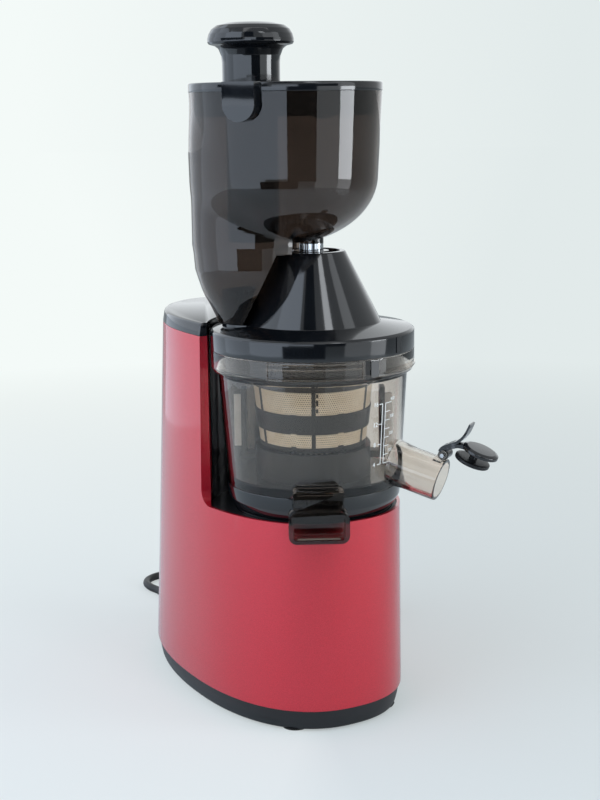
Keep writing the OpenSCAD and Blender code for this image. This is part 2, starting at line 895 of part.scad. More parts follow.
module pulp_spout() {
    color([0.2, 0.2, 0.18])
        facing(pulp_azimuth)
            difference() {
                union() {
                    // Neck out of the bowl, then a mouth that faces down and forward
                    translate([-pulp_neck_w / 2, -pulp_reach + 6, pulp_floor_z + 3])
                        cube([pulp_neck_w, pulp_reach - bowl_r + bowl_wall - 5.6, 13]);
                    translate([0, -pulp_face, pulp_mouth_z + pulp_h / 2])
                        rotate([90, 0, 0])
                            linear_extrude(height = pulp_reach - pulp_face)
                                rounded(pulp_w, pulp_h, 6);
                }
                translate([0, -pulp_face - 1.5, pulp_mouth_z + pulp_h / 2])
                    rotate([90, 0, 0])
                        linear_extrude(height = pulp_reach)
                            rounded(pulp_w - 2 * pulp_wall, pulp_h - 2 * pulp_wall, 3.5);
                translate([-pulp_neck_w / 2 + pulp_wall, -pulp_reach + 6 + pulp_wall, pulp_floor_z])
                    cube([pulp_neck_w - 2 * pulp_wall, 60, 13]);
                translate([0, 0, bowl_z - 30])
                    cylinder(r = bowl_r - bowl_wall + 0.2, h = 60);
                // Clear of the ring and the shell
                translate([0, 0, pulp_mouth_z - 1])
                    cylinder(r = bowl_r + 0.3, h = bowl_z - 5 - pulp_mouth_z + 1);
            }
}
module rounded(w, h, r) {
    hull()
        for (x = [r - w / 2, w / 2 - r], y = [r - h / 2, h / 2 - r])
            translate([x, y])
                circle(r = r, $fn = 32);
}

module pulp_plug() {
    color("dimgray")
        facing(pulp_azimuth)
            intersection() {
                translate([-pulp_neck_w / 2 + pulp_wall + 1.5, -bowl_r - 1, bowl_floor_z + 0.1])
                    cube([pulp_neck_w - 2 * pulp_wall - 3, 12, 2.5]);
                cylinder(r = bowl_r - bowl_wall - 0.4, h = 300);
            }
}

cap_ear_x = 5.4;
module cap_hinge_pin() {
    color("silver")
        facing(juice_azimuth)
            translate([-cap_ear_x - 3.2, -hinge_x, hinge_z])
                rotate([0, 90, 0])
                    cylinder(r = hinge_r, h = 2 * cap_ear_x + 6.4);
}

// The cap is drawn shut, then turned open about its pin
cap_open = 83;
// Radius of the cap's plate, and how far it hangs below the spout's axis when shut
cap_r = 13.5;
cap_drop = 3;
module open_cap() {
    facing(juice_azimuth)
        translate([0, -hinge_x, hinge_z])
            rotate([-cap_open, 0, 0])
                translate([0, hinge_x, -hinge_z])
                    facing(-juice_azimuth)
                        children();
}
cap_gap = 0.6;
seal_t = 3;
cap_stem_l = 9;
module spout_cap() {
    color("black") {
        open_cap() {
            at_juice_spout()
                translate([0, 0, spout_axis_l + cap_gap]) {
                    translate([0, 0, seal_t])
                        cylinder(r = 3, h = cap_stem_l - seal_t + eps);
                    translate([0, -cap_drop, cap_stem_l])
                        cylinder(r = cap_r, h = 2.4);
                    translate([0, -cap_drop, cap_stem_l + 2.4])
                        cylinder(r1 = cap_r, r2 = cap_r - 3, h = 1.2);
                }
        }
        // Barrel, strap and thumb lever, drawn open
        facing(juice_azimuth)
            translate([0, -hinge_x, hinge_z])
                difference() {
                    union() {
                        translate([-cap_ear_x + 0.3, 0, 0])
                            rotate([0, 90, 0])
                                cylinder(r = 4, h = 2 * cap_ear_x - 0.6);
                        rotate([90, 0, 90])
                            linear_extrude(height = 10, center = true) {
                                polygon(strap_side);
                                polygon(lever_side);
                            }
                    }
                    translate([-20, 0, 0])
                        rotate([0, 90, 0])
                            cylinder(r = hinge_r + run, h = 40);
                }
    }
}
// Side views of the strap and the thumb lever, forward of the hinge pin as minus
strap_side = [[-2, 3], [-4.5, 6.2], [-11, 8.4], [-16, 7.4], [-17.5, 4.6], [-11, 5.8], [-6, 4], [-3.4, 1]];
lever_side = [[3, 2.4], [1.4, 5.4], [-2.2, 7.9], [-9.9, 11.4], [-14.6, 15.8], [-19, 24], [-21, 23.4],
    [-16.8, 14.2], [-11.4, 8.6], [-4, 4], [0, 3]];

module cap_seal() {
    color("dimgray")
        open_cap()
            at_juice_spout()
                translate([0, 0, spout_axis_l + cap_gap])
                    cylinder(r = spout_r - spout_wall - free, h = seal_t);
}

function strainer_at(z) =
    blend(strainer_low_r, strainer_top_r, (z - strainer_z) / (strainer_top_z - strainer_z));
mesh_bands = [[strainer_z + 4, strainer_z + 14], [flange_z - 29, flange_z - 12]];
band_proud = 0.8;
strainer_flange_r = bowl_top_r - bowl_wall - 0.2;
module strainer_wall_band(z_low, z_high, out, inner) {
    revolve([[strainer_at(z_low) - inner, z_low], [strainer_at(z_low) + out, z_low],
        [strainer_at(z_high) + out, z_high], [strainer_at(z_high) - inner, z_high]]);
}
module strainer_frame() {
    color("darkslategray") {
        // Floor and lowest band, a middle band, and the top band with its flange; mesh stands between them
        revolve([[hub_r - 2, strainer_z], [strainer_low_r, strainer_z],
            [strainer_at(mesh_bands[0][0]), mesh_bands[0][0]],
            [strainer_at(mesh_bands[0][0]) - strainer_wall, mesh_bands[0][0]],
            [strainer_at(strainer_z + strainer_floor) - strainer_wall, strainer_z + strainer_floor],
            [hub_r - 2, strainer_z + strainer_floor]]);
        strainer_wall_band(mesh_bands[0][1], mesh_bands[1][0], band_proud, strainer_wall);
        revolve([[strainer_at(mesh_bands[1][1]) - strainer_wall, mesh_bands[1][1]],
            [strainer_at(mesh_bands[1][1]) + band_proud, mesh_bands[1][1]],
            [strainer_top_r + band_proud, strainer_top_z], [strainer_flange_r, strainer_top_z],
            [strainer_flange_r, strainer_top_z + strainer_floor],
            [strainer_top_r - strainer_wall, strainer_top_z + strainer_floor],
            [strainer_top_r - strainer_wall, strainer_top_z]]);
        // Six ribs that join the bands
        for (i = [0:5])
            intersection() {
                strainer_wall_band(strainer_z + 1, strainer_top_z + 1, -0.1, 0.6);
                rotate([0, 0, 60 * i + 30])
                    translate([20, -1.5, 0])
                        cube([40, 3, 400]);
            }
    }
}

module strainer_mesh() {
    color("tan")
        for (band = mesh_bands)
            difference() {
                strainer_wall_band(band[0], band[1], -0.65, strainer_wall);
                for (i = [0:35])
                    rotate([0, 0, 10 * i + 5])
                        translate([30, -0.6, band[0] + 3])
                            cube([30, 1.2, band[1] - band[0] - 6]);
            }
}

module idler_gear() {
    color("white")
        facing(idler_azimuth)
            translate([0, -idler_x, gear_z])
                rotate([0, 0, 90 + 180 / idler_teeth])
                    spur_gear(idler_teeth, module_3, gear_h, 0, idler_post_r + run);
}

module sun_gear() {
    color("white")
        facing(idler_azimuth)
            rotate([0, 0, -90])
                translate([0, 0, gear_z])
                    spur_gear(sun_teeth, module_3, gear_h, 0, socket_r + seat);
}

wiper_arms = [60, 240];
module wiper_ring() {
    low_z = bowl_floor_z + free;
    color("darkslategray")
        difference() {
            union() {
                translate([0, 0, low_z])
                    cylinder(r = wiper_ring_r, h = gear_z + gear_h - low_z);
                for (a = wiper_arms)
                    facing(a) {
                        translate([-5, -wiper_out_r, gear_z - 5])
                            cube([10, wiper_out_r - wiper_ring_r + 2, 5]);
                        translate([-5, -wiper_out_r, gear_z - 5])
                            cube([10, wiper_out_r - wiper_in_r, flange_z - 12 - gear_z]);
                    }
            }
            // Bore that runs round the bowl's track, under the teeth
            translate([0, 0, low_z - 1])
                cylinder(r = track_r + 0.15, h = gear_z - low_z + 1);
            facing(idler_azimuth)
                rotate([0, 0, -90 + 180 / ring_teeth])
                    translate([0, 0, gear_z - 1])
                        linear_extrude(height = gear_h + 2)
                            polygon(gear_outline(ring_teeth, module_3, ring_r - 0.9 * module_3,
                                ring_r + 1.25 * module_3, -backlash / 2));
        }
}

module wiper_blades() {
    color("gainsboro")
        for (a = wiper_arms)
            facing(a)
                translate([-0.8, -wiper_out_r - 6, gear_z + 4])
                    cube([1.6, 6, flange_z - 26 - gear_z]);
}

// Helical flight, whose inner edge lies in the core
flight_steps = 40;
module flight(start, turns, z_low, z_high, thick) {
    skin([for (i = [0:flight_steps])
        let (t = i / flight_steps, z = blend(z_low, z_high, t), a = start + 360 * turns * t,
            r = auger_out(z), c = auger_core(z) - 1.5)
        [[c * cos(a), c * sin(a), z - thick], [r * cos(a), r * sin(a), z - thick / 2],
            [r * cos(a), r * sin(a), z + thick / 2], [c * cos(a), c * sin(a), z + thick]]]);
}
auger_top_z = cone_z - 26;
journal_r = 5;
journal_l = 11;
function auger_core(z) = blend(24, 9, (z - auger_z) / (auger_top_z - auger_z));
function cone_in(z) = blend(cone_r, cone_top_r, (z - collar_z) / (cone_z - collar_z)) - lid_wall;
function auger_out(z) = z < strainer_top_z
    ? strainer_at(z) - strainer_wall - auger_gap - 0.6
    : min(strainer_at(strainer_top_z) - strainer_wall - auger_gap - 0.6, cone_in(max(z, collar_z)) - 6);
module auger() {
    color("dimgray")
        union() {
            revolve([[0, auger_z + 20], [0, auger_top_z + journal_l], [journal_r, auger_top_z + journal_l],
                [journal_r, auger_top_z], [auger_core(auger_top_z), auger_top_z],
                [auger_core(auger_z + 8), auger_z + 8], [strainer_low_r - 7, auger_z + 4],
                [strainer_low_r - 7, auger_z], [socket_r + seat, auger_z], [socket_r + seat, auger_z + 20]]);
            for (s = [7, 187])
                flight(s, 1.4, auger_z + 12, auger_top_z - 10, 2.6);
        }
}

module auger_socket() {
    color("silver")
        difference() {
            translate([0, 0, bowl_z + 1])
                cylinder(r = socket_r, h = auger_z + 20 - bowl_z - 1);
            translate([0, 0, bowl_z])
                rotate([0, 0, 30])
                    cylinder(r = (hex_w + 0.3) / 2 / cos(30), h = hex_top_z + 1 - bowl_z, $fn = 6);
        }
}

// ---- lid ----
// The lower end of the feed chute narrows to the lid in a round sweep
chute_end = [[27.9, 0], [33.4, 12], [38.4, 21], [41.4, 30], [44.2, 39], [45.5, 56]];
chute_foot_z = collar_z + 0.6;
module chute_solid(inset, low = 0) {
    translate([chute_x, chute_y, 0])
        revolve(concat([[0, chute_foot_z - low], [chute_end[0][0] + chute_r - 46 - inset, chute_foot_z - low]],
            [for (p = chute_end) [p[0] + chute_r - 46 - inset, chute_foot_z + p[1]]],
            [[chute_r - inset, rim_z + low], [0, rim_z + low]]));
}
module cone_solid(out, low_z) {
    revolve([[0, low_z], [cone_r + out, low_z], [cone_r + out, collar_z],
        [cone_top_r + out, cone_z + out], [0, cone_z + out]]);
}
// What is taken from the chute in front of the cone and the pin, so that both stand free
pin_view_z = cup_turn_z - 36;
module cone_side(grow) {
    side = cone_r + hopper_gap + grow;
    facing(chute_azimuth + 90)
        translate([0, grow, 0])
            rotate([90, 0, 0])
                linear_extrude(height = 120)
                    polygon([[-side, collar_z - 6], [-side, collar_z],
                        [-cone_top_r - hopper_gap - grow, cone_z + 0.4 + grow],
                        [-pin_r - 5 - grow, cone_z + 0.4 + grow], [-pin_r - 5 - grow, pin_view_z + grow],
                        [70, pin_view_z + grow], [70, collar_z - 6]]);
}
collar_top_z = collar_z + 24;
collar_r = chute_end[0][0] + chute_r - 46 - hopper_wall - hopper_gap;
cone_roof_z = cone_z - 8 - lid_wall;
spigot_in_r = flange_in_r - 3;
skirt_out_r = cone_r - 1;
plate_low_z = lid_top_z - 3.4;
module bowl_lid() {
    color("dimgray")
        difference() {
            union() {
                // Skirt, plate, spigot inside the bowl's flange, band and cone in one profile
                revolve([[cone_r - lid_wall, lid_z], [skirt_out_r, lid_z], [skirt_out_r, plate_low_z],
                    [spigot_in_r, plate_low_z], [spigot_in_r, flange_z + 4], [flange_in_r - 0.15, flange_z + 4],
                    [flange_in_r - 0.15, lid_z], [flange_r, lid_z], [flange_r, lid_top_z - 1.5],
                    [flange_r - 1.5, lid_top_z], [cone_r, collar_z], [cone_top_r, cone_z], [0, cone_z],
                    [0, cone_roof_z], [cone_top_r - lid_wall, cone_roof_z], [cone_r - lid_wall, collar_z]]);
                // Collar inside the foot of the chute
                difference() {
                    translate([chute_x, chute_y, lid_top_z - 1])
                        cylinder(r = collar_r, h = collar_top_z - lid_top_z + 1);
                    // Room for the chute's flat side
                    facing(chute_azimuth + 90)
                        translate([-cone_r - hopper_gap - hopper_wall - 0.6, -100, collar_z + 0.2])
                            cube([160, 100 + hopper_wall + 0.6, 60]);
                    revolve([[0, lid_top_z - 2], [skirt_out_r, lid_top_z - 2], [skirt_out_r, collar_z],
                        [cone_top_r - 1, cone_z], [0, cone_z]]);
                }
            }
            // Feed opening from the chute into the cone
            difference() {
                translate([chute_x, chute_y, collar_z + 0.5])
                    cylinder(r = collar_r - 2, h = cone_z - 20 - collar_z);
                cone_side(hopper_wall + 2.6);
            }
            // Socket for the hopper's pin and the ring round it
            translate([0, 0, cone_z - 7])
                cylinder(r = pin_r + 0.4, h = 20);
            ring(cone_top_r - 4, pin_r + 4, cone_z - 2, 4);
        }
}

module lid_seal() {
    color("white")
        ring(flange_in_r - 3.1, flange_in_r - 6, flange_z + 4, 4);
}

module lid_bush() {
    low_z = auger_top_z + 1.5;
    color("silver")
        difference() {
            translate([0, 0, low_z])
                cylinder(r = journal_r + 4, h = cone_z - 8 - lid_wall - low_z);
            translate([0, 0, low_z - 1])
                cylinder(r = journal_r + run, h = journal_l + 0.5);
        }
}

// ---- hopper ----
function cup_curve(inset) = [for (a = [-90:7.5:0])
    [(cup_low_r - inset) * cos(a), cup_turn_z + (cup_depth - inset) * sin(a)]];
module cup_solid(inset, top) {
    translate([cup_x, cup_y, 0])
        revolve(concat(cup_curve(inset), [[cup_r - inset, rim_z], [cup_r - inset, top], [0, top]]));
}
// Underside of the small boss that the locating pin hangs from
boss_z = cup_turn_z - cup_depth - 0.1;
module hopper() {
    color([0.15, 0.15, 0.17, 0.6])
        difference() {
            union() {
                cup_solid(0, rim_z);
                difference() {
                    chute_solid(0);
                    cone_side(0);
                }
                translate([0, 0, boss_z])
                    cylinder(r = pin_r, h = 8);
            }
            cup_solid(hopper_wall, rim_z + 10);
            difference() {
                chute_solid(hopper_wall, 1);
                cone_side(hopper_wall);
            }
            cone_solid(hopper_gap, lid_z);
            translate([0, 0, cone_z - 10])
                cylinder(r = pin_r + 2, h = boss_z - cone_z + 10);
        }
}

module hopper_pin() {
    color("silver")
        translate([0, 0, cone_z - 6])
            cylinder(r = pin_r, h = boss_z - cone_z + 6);
}

module hopper_lid() {
    skirt_low_z = rim_z - 17;
    skirt_r = blend(cup_low_r, cup_r, (skirt_low_z - cup_turn_z) / (rim_z - cup_turn_z)) - hopper_wall - 0.4;
    color("black")
        difference() {
            translate([cup_x, cup_y, 0])
                union() {
                    // Band round the rim, top plate and the skirt inside the cup
                    ring(cup_r + free, cup_r - hopper_wall, rim_z, band_h);
                    translate([0, 0, rim_top_z - 3])
                        cylinder(r = cup_r, h = 3);
                    ring(skirt_r, skirt_r - 1.8, skirt_low_z, band_h + 16);
                    difference() {
                        for (a = tab_azimuths)
                            facing(a)
                                translate([0, -cup_r, rim_top_z])
                                    rotate([90, 0, 0])
                                        linear_extrude(height = tab_out)
                                            tongue();
                        translate([0, 0, rim_z - 40])
                            cylinder(r = cup_r + free, h = 40);
                    }
                }
            translate([chute_x, chute_y, rim_top_z - 10])
                cylinder(r = stem_r + 0.4, h = 20);
        }
}
tab_azimuths = [-53, 127];
module tongue() {
    translate([-tab_w / 2, -tab_l + tab_w / 2])
        square([tab_w, tab_l - tab_w / 2]);
    translate([0, -tab_l + tab_w / 2])
        circle(r = tab_w / 2);
}

module at_pusher(z) {
    translate([chute_x, chute_y, z])
        children();
}
module pusher_stem() {
    color("black")
        at_pusher(knob_z - stem_l)
            difference() {
                cylinder(r = stem_r, h = stem_l);
                translate([0, 0, 3])
                    cylinder(r = stem_r - stem_wall, h = stem_l);
            }
}

brim_z = knob_h - 14.5;
module pusher_knob() {
    color("black")
        at_pusher(knob_z)
            revolve([[0, 0], [neck_r, 0], [neck_r, brim_z - 14], [neck_r + 0.6, brim_z - 9],
                [neck_r + 2.4, brim_z - 4.3], [neck_r + 5, brim_z - 2.4], [brim_r - 1.2, brim_z - 1.4],
                [brim_r, brim_z + 0.2], [brim_r, brim_z + 2.6], [brim_r - 0.9, brim_z + 6],
                [brim_r - 2.9, brim_z + 9.4], [brim_r - 6.3, brim_z + 12], [brim_r - 13.5, brim_z + 13.8],
                [0, brim_z + 14.5]]);
}

body_shell();
recess_liner();
column_cap();
deck_plate();
plinth();
rubber_feet();
base_screws();
motor_stator();
motor_windings();
motor_frame();
motor_mounts();
gearbox_housing();
gearbox_cover();
gearbox_screws();
drive_bearings();
shaft_seal();
control_board();
run_capacitor();
safety_switch();
switch_bezel();
rocker();
cord_gland();
power_cord();
cord_coil();
plug_body();
plug_pins();
motor_rotor();
motor_fan();
motor_pinion();
intermediate_gear();
intermediate_spindle();
output_gear();
drive_shaft();
bowl_base();
juice_bowl();
bowl_bush();
bowl_seal();
pulp_spout();
pulp_plug();
cap_hinge_pin();
spout_cap();
cap_seal();
strainer_frame();
strainer_mesh();
idler_gear();
wiper_ring();
wiper_blades();
auger();
auger_socket();
sun_gear();
bowl_lid();
lid_seal();
lid_bush();
hopper();
hopper_pin();
hopper_lid();
pusher_stem();
pusher_knob();
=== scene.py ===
import json
import math

import bmesh
import bpy
from mathutils import Matrix, Vector


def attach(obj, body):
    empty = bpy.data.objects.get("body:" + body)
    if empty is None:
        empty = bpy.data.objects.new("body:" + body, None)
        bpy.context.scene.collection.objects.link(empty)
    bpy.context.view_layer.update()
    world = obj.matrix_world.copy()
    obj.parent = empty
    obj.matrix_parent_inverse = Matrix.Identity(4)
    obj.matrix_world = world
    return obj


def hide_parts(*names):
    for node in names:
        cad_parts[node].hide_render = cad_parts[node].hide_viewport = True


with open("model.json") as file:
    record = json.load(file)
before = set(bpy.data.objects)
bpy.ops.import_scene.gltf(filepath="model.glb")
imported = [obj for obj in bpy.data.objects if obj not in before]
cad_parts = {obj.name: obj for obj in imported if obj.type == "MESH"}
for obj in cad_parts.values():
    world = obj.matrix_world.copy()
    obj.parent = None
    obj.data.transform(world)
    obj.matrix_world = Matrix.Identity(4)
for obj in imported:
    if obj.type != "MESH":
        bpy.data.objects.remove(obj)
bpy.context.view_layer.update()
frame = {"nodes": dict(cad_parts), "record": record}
nodes = frame["nodes"]

MM = 0.001

# ---- sizes shared with the solids, in millimetres ----
SEAM_Z = 17
DECK_Z = 161
COLUMN_Z = 289.5
WIDEST_Y = 60
FRONT_Y, FRONT_TOP_Y = 63.5, 64.5
REAR_Y, REAR_TOP_Y = 214, 180
HALF_W, HALF_TOP_W = 79, 75
COLUMN_Y = 39
CORNER_R = 12
RECESS_R = 78.5
SHELL_WALL = 2.4
FRONT_POWER = 2.34
REAR_POWER = 2.06
BOWL_Z = 180
BOWL_R = 65.8
BOWL_TOP_R = 70.6
FLANGE_Z = 265
FLANGE_R = 76
FLANGE_IN_R = 71
BOWL_WALL = 3
LID_Z = 281
LID_TOP_Z = 296
COLLAR_Z = 300
CONE_R = 50.8
CONE_TOP_R = 25
CONE_Z = 352.5
CUP = (-15.33, 8.85)
CHUTE = (-36.55, 21.1)
CUP_R = 70.2
CUP_LOW_R = 67
CUP_TURN_Z = 408
CUP_DEPTH = 50
CUP_FLOOR_Z = CUP_TURN_Z - CUP_DEPTH
RIM_Z = 467.5
RIM_TOP_Z = 474
HOPPER_WALL = 2.6
CHUTE_R = 45.6
CHUTE_OFFSET = 42.2
CHUTE_FOOT_Z = 300.6
STEM_R = 19
STEM_LOW_Z = 360
KNOB_H = 42.8
JUICE_AZIMUTH = 36
PULP_AZIMUTH = -28
SPOUT_R = 16
SPOUT_WALL = 2.5
SPOUT_SLOPE = 15.5
SPOUT_ROOT = 70
SPOUT_REACH = 102
SPOUT_Z = 196
SPOUT_L = (SPOUT_REACH - SPOUT_ROOT) / math.cos(math.radians(SPOUT_SLOPE))
HINGE_Y = SPOUT_REACH + 3
HINGE_Z = SPOUT_Z - SPOUT_L * math.sin(math.radians(SPOUT_SLOPE)) + SPOUT_R + 4.2
CAP_OPEN = 83
CORD_D = 7
STRAINER_Z, STRAINER_TOP_Z = 207.5, 262
STRAINER_R, STRAINER_TOP_R = 40, 46.5
# Each band of mesh: its lower edge, its upper edge and its rows of holes
MESH_BANDS = ((211.5, 221.5, 6), (236, 253, 11))
# The camera and the hopper lie this far round from the front. From the chute to the drive axis is
# towards CROSSWISE, and away from the camera is towards AWAY.
VIEW_TURN = -30
CROSSWISE = (0.866, -0.5)
AWAY = (0.5, 0.866)
# Shapes that cut the base reach this far to each side and this high, and those for its cap start here
FAR = 200
HIGH_Z = 400
CAP_CUT_Z = 200

# The cord's route from its gland to the coil, as the solids have it
CORD_ROUTE = [(0, 226, 36), (0, 238, 34), (0, 250, 27), (1, 264, 16), (3, 279, 7), (4, 290, 4),
              (4, 302, 3.6), (2, 316, 3.6), (5, 330, 3.6), (15, 340, 3.6), (29, 343, 3.6),
              (43, 340, 3.6), (63, 333, 3.6), (84, 321, 3.6), (102, 303, 3.6), (117, 280, 3.6),
              (134.4, 258.2, 3.6)]
COIL_CENTRE = (100, 235)
COIL_IN_R = 34.5
COIL_OUT_R = 41.5
PLUG_X = 141.5
PLUG_Y = 208
PLUG_R = 18.5


def blend(a, b, t):
    return a + (b - a) * t


def ease(t):
    t = min(1, max(0, t))
    return t * t * (3 - 2 * t)


# ---- shaping: every helper works in millimetres ----
def linked(name, data):
    """A new object in the scene."""
    obj = bpy.data.objects.new(name, data)
    bpy.context.scene.collection.objects.link(obj)
    return obj


def solid(name, points, faces):
    """A closed mesh with its faces turned outwards."""
    mesh = bpy.data.meshes.new(name)
    mesh.from_pydata([tuple(p) for p in points], [], faces)
    shape = bmesh.new()
    shape.from_mesh(mesh)
    bmesh.ops.recalc_face_normals(shape, faces=shape.faces)
    shape.to_mesh(mesh)
    shape.free()
    return linked(name, mesh)


def poured(name, shape):
    """A new object that takes over a bmesh."""
    mesh = bpy.data.meshes.new(name)
    shape.to_mesh(mesh)
    shape.free()
    return linked(name, mesh)


def settle(obj):
    """Turns an object and its modifiers into a plain mesh."""
    graph = bpy.context.evaluated_depsgraph_get()
    mesh = bpy.data.meshes.new_from_object(obj.evaluated_get(graph))
    obj.modifiers.clear()
    obj.data = mesh
    return obj


def combine(obj, others, operation):
    for other in others:
        step = obj.modifiers.new("combine", "BOOLEAN")
        step.operation = operation
        step.solver = "EXACT"
        step.object = other
        settle(obj)
        bpy.data.objects.remove(other)
    return obj


def cut(obj, *others):
    return combine(obj, others, "DIFFERENCE")


def join(obj, *others):
    return combine(obj, others, "UNION")


def keep(obj, *others):
    return combine(obj, others, "INTERSECT")


def round_edges(obj, width, steps=3, angle=50):
    step = obj.modifiers.new("edges", "BEVEL")
    step.width = width
    step.segments = steps
    step.limit_method = "ANGLE"
    step.angle_limit = math.radians(angle)
    return settle(obj)


def turned(obj, matrix):
    obj.data.transform(matrix)
    return obj


def facing(azimuth):
    """Moves what faces the front round to an azimuth."""
    return Matrix.Rotation(math.radians(azimuth), 4, "Z")


def shift(x, y, z):
    return Matrix.Translation((x, y, z))


def tilt(angle, axis="X"):
    return Matrix.Rotation(math.radians(angle), 4, axis)


def rounded(profile, radius, steps=3):
    """Rounds the corners of a closed profile, as a mould's edge does. A point may carry its own radius."""
    out = []
    profile = [p for i, p in enumerate(profile) if math.dist(p[:2], profile[i - 1][:2]) > 0.001]
    for i, corner in enumerate(profile):
        here = Vector(corner[:2])
        before = Vector(profile[i - 1][:2]) - here
        after = Vector(profile[(i + 1) % len(profile)][:2]) - here
        own = corner[2] if len(corner) > 2 else radius
        turn = math.pi - before.angle(after)
        if abs(here.x) < 0.001 or own == 0 or turn < 0.15:
            out.append(here)
            continue
        reach = min(own * math.tan(turn / 2), 0.45 * before.length, 0.45 * after.length)
        a = here + before.normalized() * reach
        b = here + after.normalized() * reach
        for s in range(steps + 1):
            t = s / steps
            out.append(a * (1 - t) ** 2 + here * 2 * t * (1 - t) + b * t * t)
    return [(p.x, p.y) for p in out]


def lathe(name, profile, count=144, centre=(0, 0)):
    """A solid turned about a vertical axis, from a closed profile of radius and height."""
    points = []
    rings = []
    for r, z in profile:
        start = len(points)
        steps = 1 if r < 0.001 else count
        rings.append([start + k for k in range(steps)])
        for k in range(steps):
            a = math.tau * k / count
            points.append((centre[0] + r * math.sin(a), centre[1] - r * math.cos(a), z))
    faces = []
    for i in range(len(profile)):
        low = rings[i]
        high = rings[(i + 1) % len(profile)]
        for k in range(count):
            n = (k + 1) % count
            if len(low) == 1 and len(high) == 1:
                break
            if len(low) == 1:
                faces.append((low[0], high[n], high[k]))
            elif len(high) == 1:
                faces.append((low[k], low[n], high[0]))
            else:
                faces.append((low[k], low[n], high[n], high[k]))
    return solid(name, points, faces)


def post(name, r, low, high, count=180, centre=(0, 0)):
    return lathe(name, [(0, low), (r, low), (r, high), (0, high)], count, centre)


def stack(name, rings):
    """A solid through rings of points, closed with a flat face at each end."""
    count = len(rings[0])
    points = [p for ring in rings for p in ring]
    faces = [tuple(range(count))[::-1], tuple(range(len(points) - count, len(points)))]
    for i in range(len(rings) - 1):
        for k in range(count):
            n = (k + 1) % count
            faces.append((i * count + k, i * count + n, (i + 1) * count + n, (i + 1) * count + k))
    return solid(name, points, faces)


def extruded(name, outline, low, high):
    return stack(name, [[(x, y, low) for x, y in outline], [(x, y, high) for x, y in outline]])


def box(name, low, high):
    (x0, y0, z0), (x1, y1, z1) = low, high
    return extruded(name, [(x0, y0), (x1, y0), (x1, y1), (x0, y1)], z0, z1)


def rounded_box(w, h, corner, steps=8):
    """The outline of a rectangle with round corners, centred."""
    out = []
    for cx, cy, start in ((1, 1, 0), (-1, 1, 90), (-1, -1, 180), (1, -1, 270)):
        for s in range(steps + 1):
            a = math.radians(start + 90 * s / steps)
            out.append((cx * (w / 2 - corner) + corner * math.cos(a),
                        cy * (h / 2 - corner) + corner * math.sin(a)))
    return out


def place(obj, name, body, slot, replaces=(), crease=35, matrix=None, look=None):
    """Puts a shaped piece in place in metres, with its body and its slot's finish or its own look."""
    obj.name = name
    mesh = obj.data
    mesh.name = name
    mesh.transform(Matrix.Scale(MM, 4) @ (matrix or Matrix()))
    mesh.polygons.foreach_set("use_smooth", [True] * len(mesh.polygons))
    mesh.set_sharp_from_angle(angle=math.radians(crease))
    mesh.materials.clear()
    mesh.materials.append(look or FINISHES[slot])
    mesh.update()
    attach(obj, body)
    if replaces:
        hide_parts(*replaces)
    return obj


# ---- finishes ----
def paint(code):
    """An sRGB hex colour as linear red, green, blue and alpha."""
    parts = [int(code[i:i + 2], 16) / 255 for i in (1, 3, 5)]
    return (*[c / 12.92 if c <= 0.04045 else ((c + 0.055) / 1.055) ** 2.4 for c in parts], 1)


def add(tree, kind, values=(), **settings):
    """Adds a node: settings are its own, and values go to its sockets, linked where they are sockets."""
    own = kind.startswith(("Geometry", "NodeGroup"))
    node = tree.nodes.new(kind if own else "ShaderNode" + kind)
    for key, value in settings.items():
        setattr(node, key, value)
    for key, value in dict(values).items():
        if isinstance(value, bpy.types.NodeSocket):
            tree.links.new(value, node.inputs[key])
        else:
            node.inputs[key].default_value = value
    return node


def finish(name, values):
    """A material with one Principled shader and Object coordinates, ready for more nodes."""
    mat = bpy.data.materials.new(name)
    mat.use_nodes = True
    tree = mat.node_tree
    tree.nodes.clear()
    shader = add(tree, "BsdfPrincipled", values)
    out = add(tree, "OutputMaterial", {"Surface": shader.outputs[0]})
    place_of = add(tree, "TexCoord").outputs["Object"]
    return mat, tree, shader, out, place_of


def grain(tree, place_of, size_mm, detail=2.0, squash=(1, 1, 1)):
    """Noise whose features are about size_mm across."""
    spread = add(tree, "Mapping", {"Vector": place_of, "Scale": squash})
    return add(tree, "TexNoise", {
        "Vector": spread.outputs[0], "Scale": 1 / (size_mm * MM), "Detail": detail})


def tinted(tree, factor, low, high, start=0.3, end=0.7):
    """A colour that runs from low to high over part of a factor."""
    ramp = add(tree, "ValToRGB", {"Fac": factor})
    ramp.color_ramp.elements[0].position = start
    ramp.color_ramp.elements[1].position = end
    ramp.color_ramp.elements[0].color = paint(low)
    ramp.color_ramp.elements[1].color = paint(high)
    return ramp.outputs["Color"]


def ranged(tree, factor, low, high):
    return add(tree, "MapRange", {"Value": factor, "To Min": low, "To Max": high}).outputs[0]


def textured(name, low, high, size_mm, rough, bump, bump_mm, values=(), squash=(1, 1, 1)):
    """A finish whose colour, roughness and surface vary a little, at sizes given in millimetres."""
    mat, tree, shader, _, place_of = finish(name, values)
    cloud = grain(tree, place_of, size_mm, 3, squash)
    tree.links.new(tinted(tree, cloud.outputs["Fac"], low, high), shader.inputs["Base Color"])
    tree.links.new(ranged(tree, cloud.outputs["Fac"], *rough), shader.inputs["Roughness"])
    fine = grain(tree, place_of, bump_mm, 2, squash)
    relief = add(tree, "Bump", {"Height": fine.outputs["Fac"], "Strength": bump, "Distance": 0.2 * MM})
    tree.links.new(relief.outputs[0], shader.inputs["Normal"])
    return mat


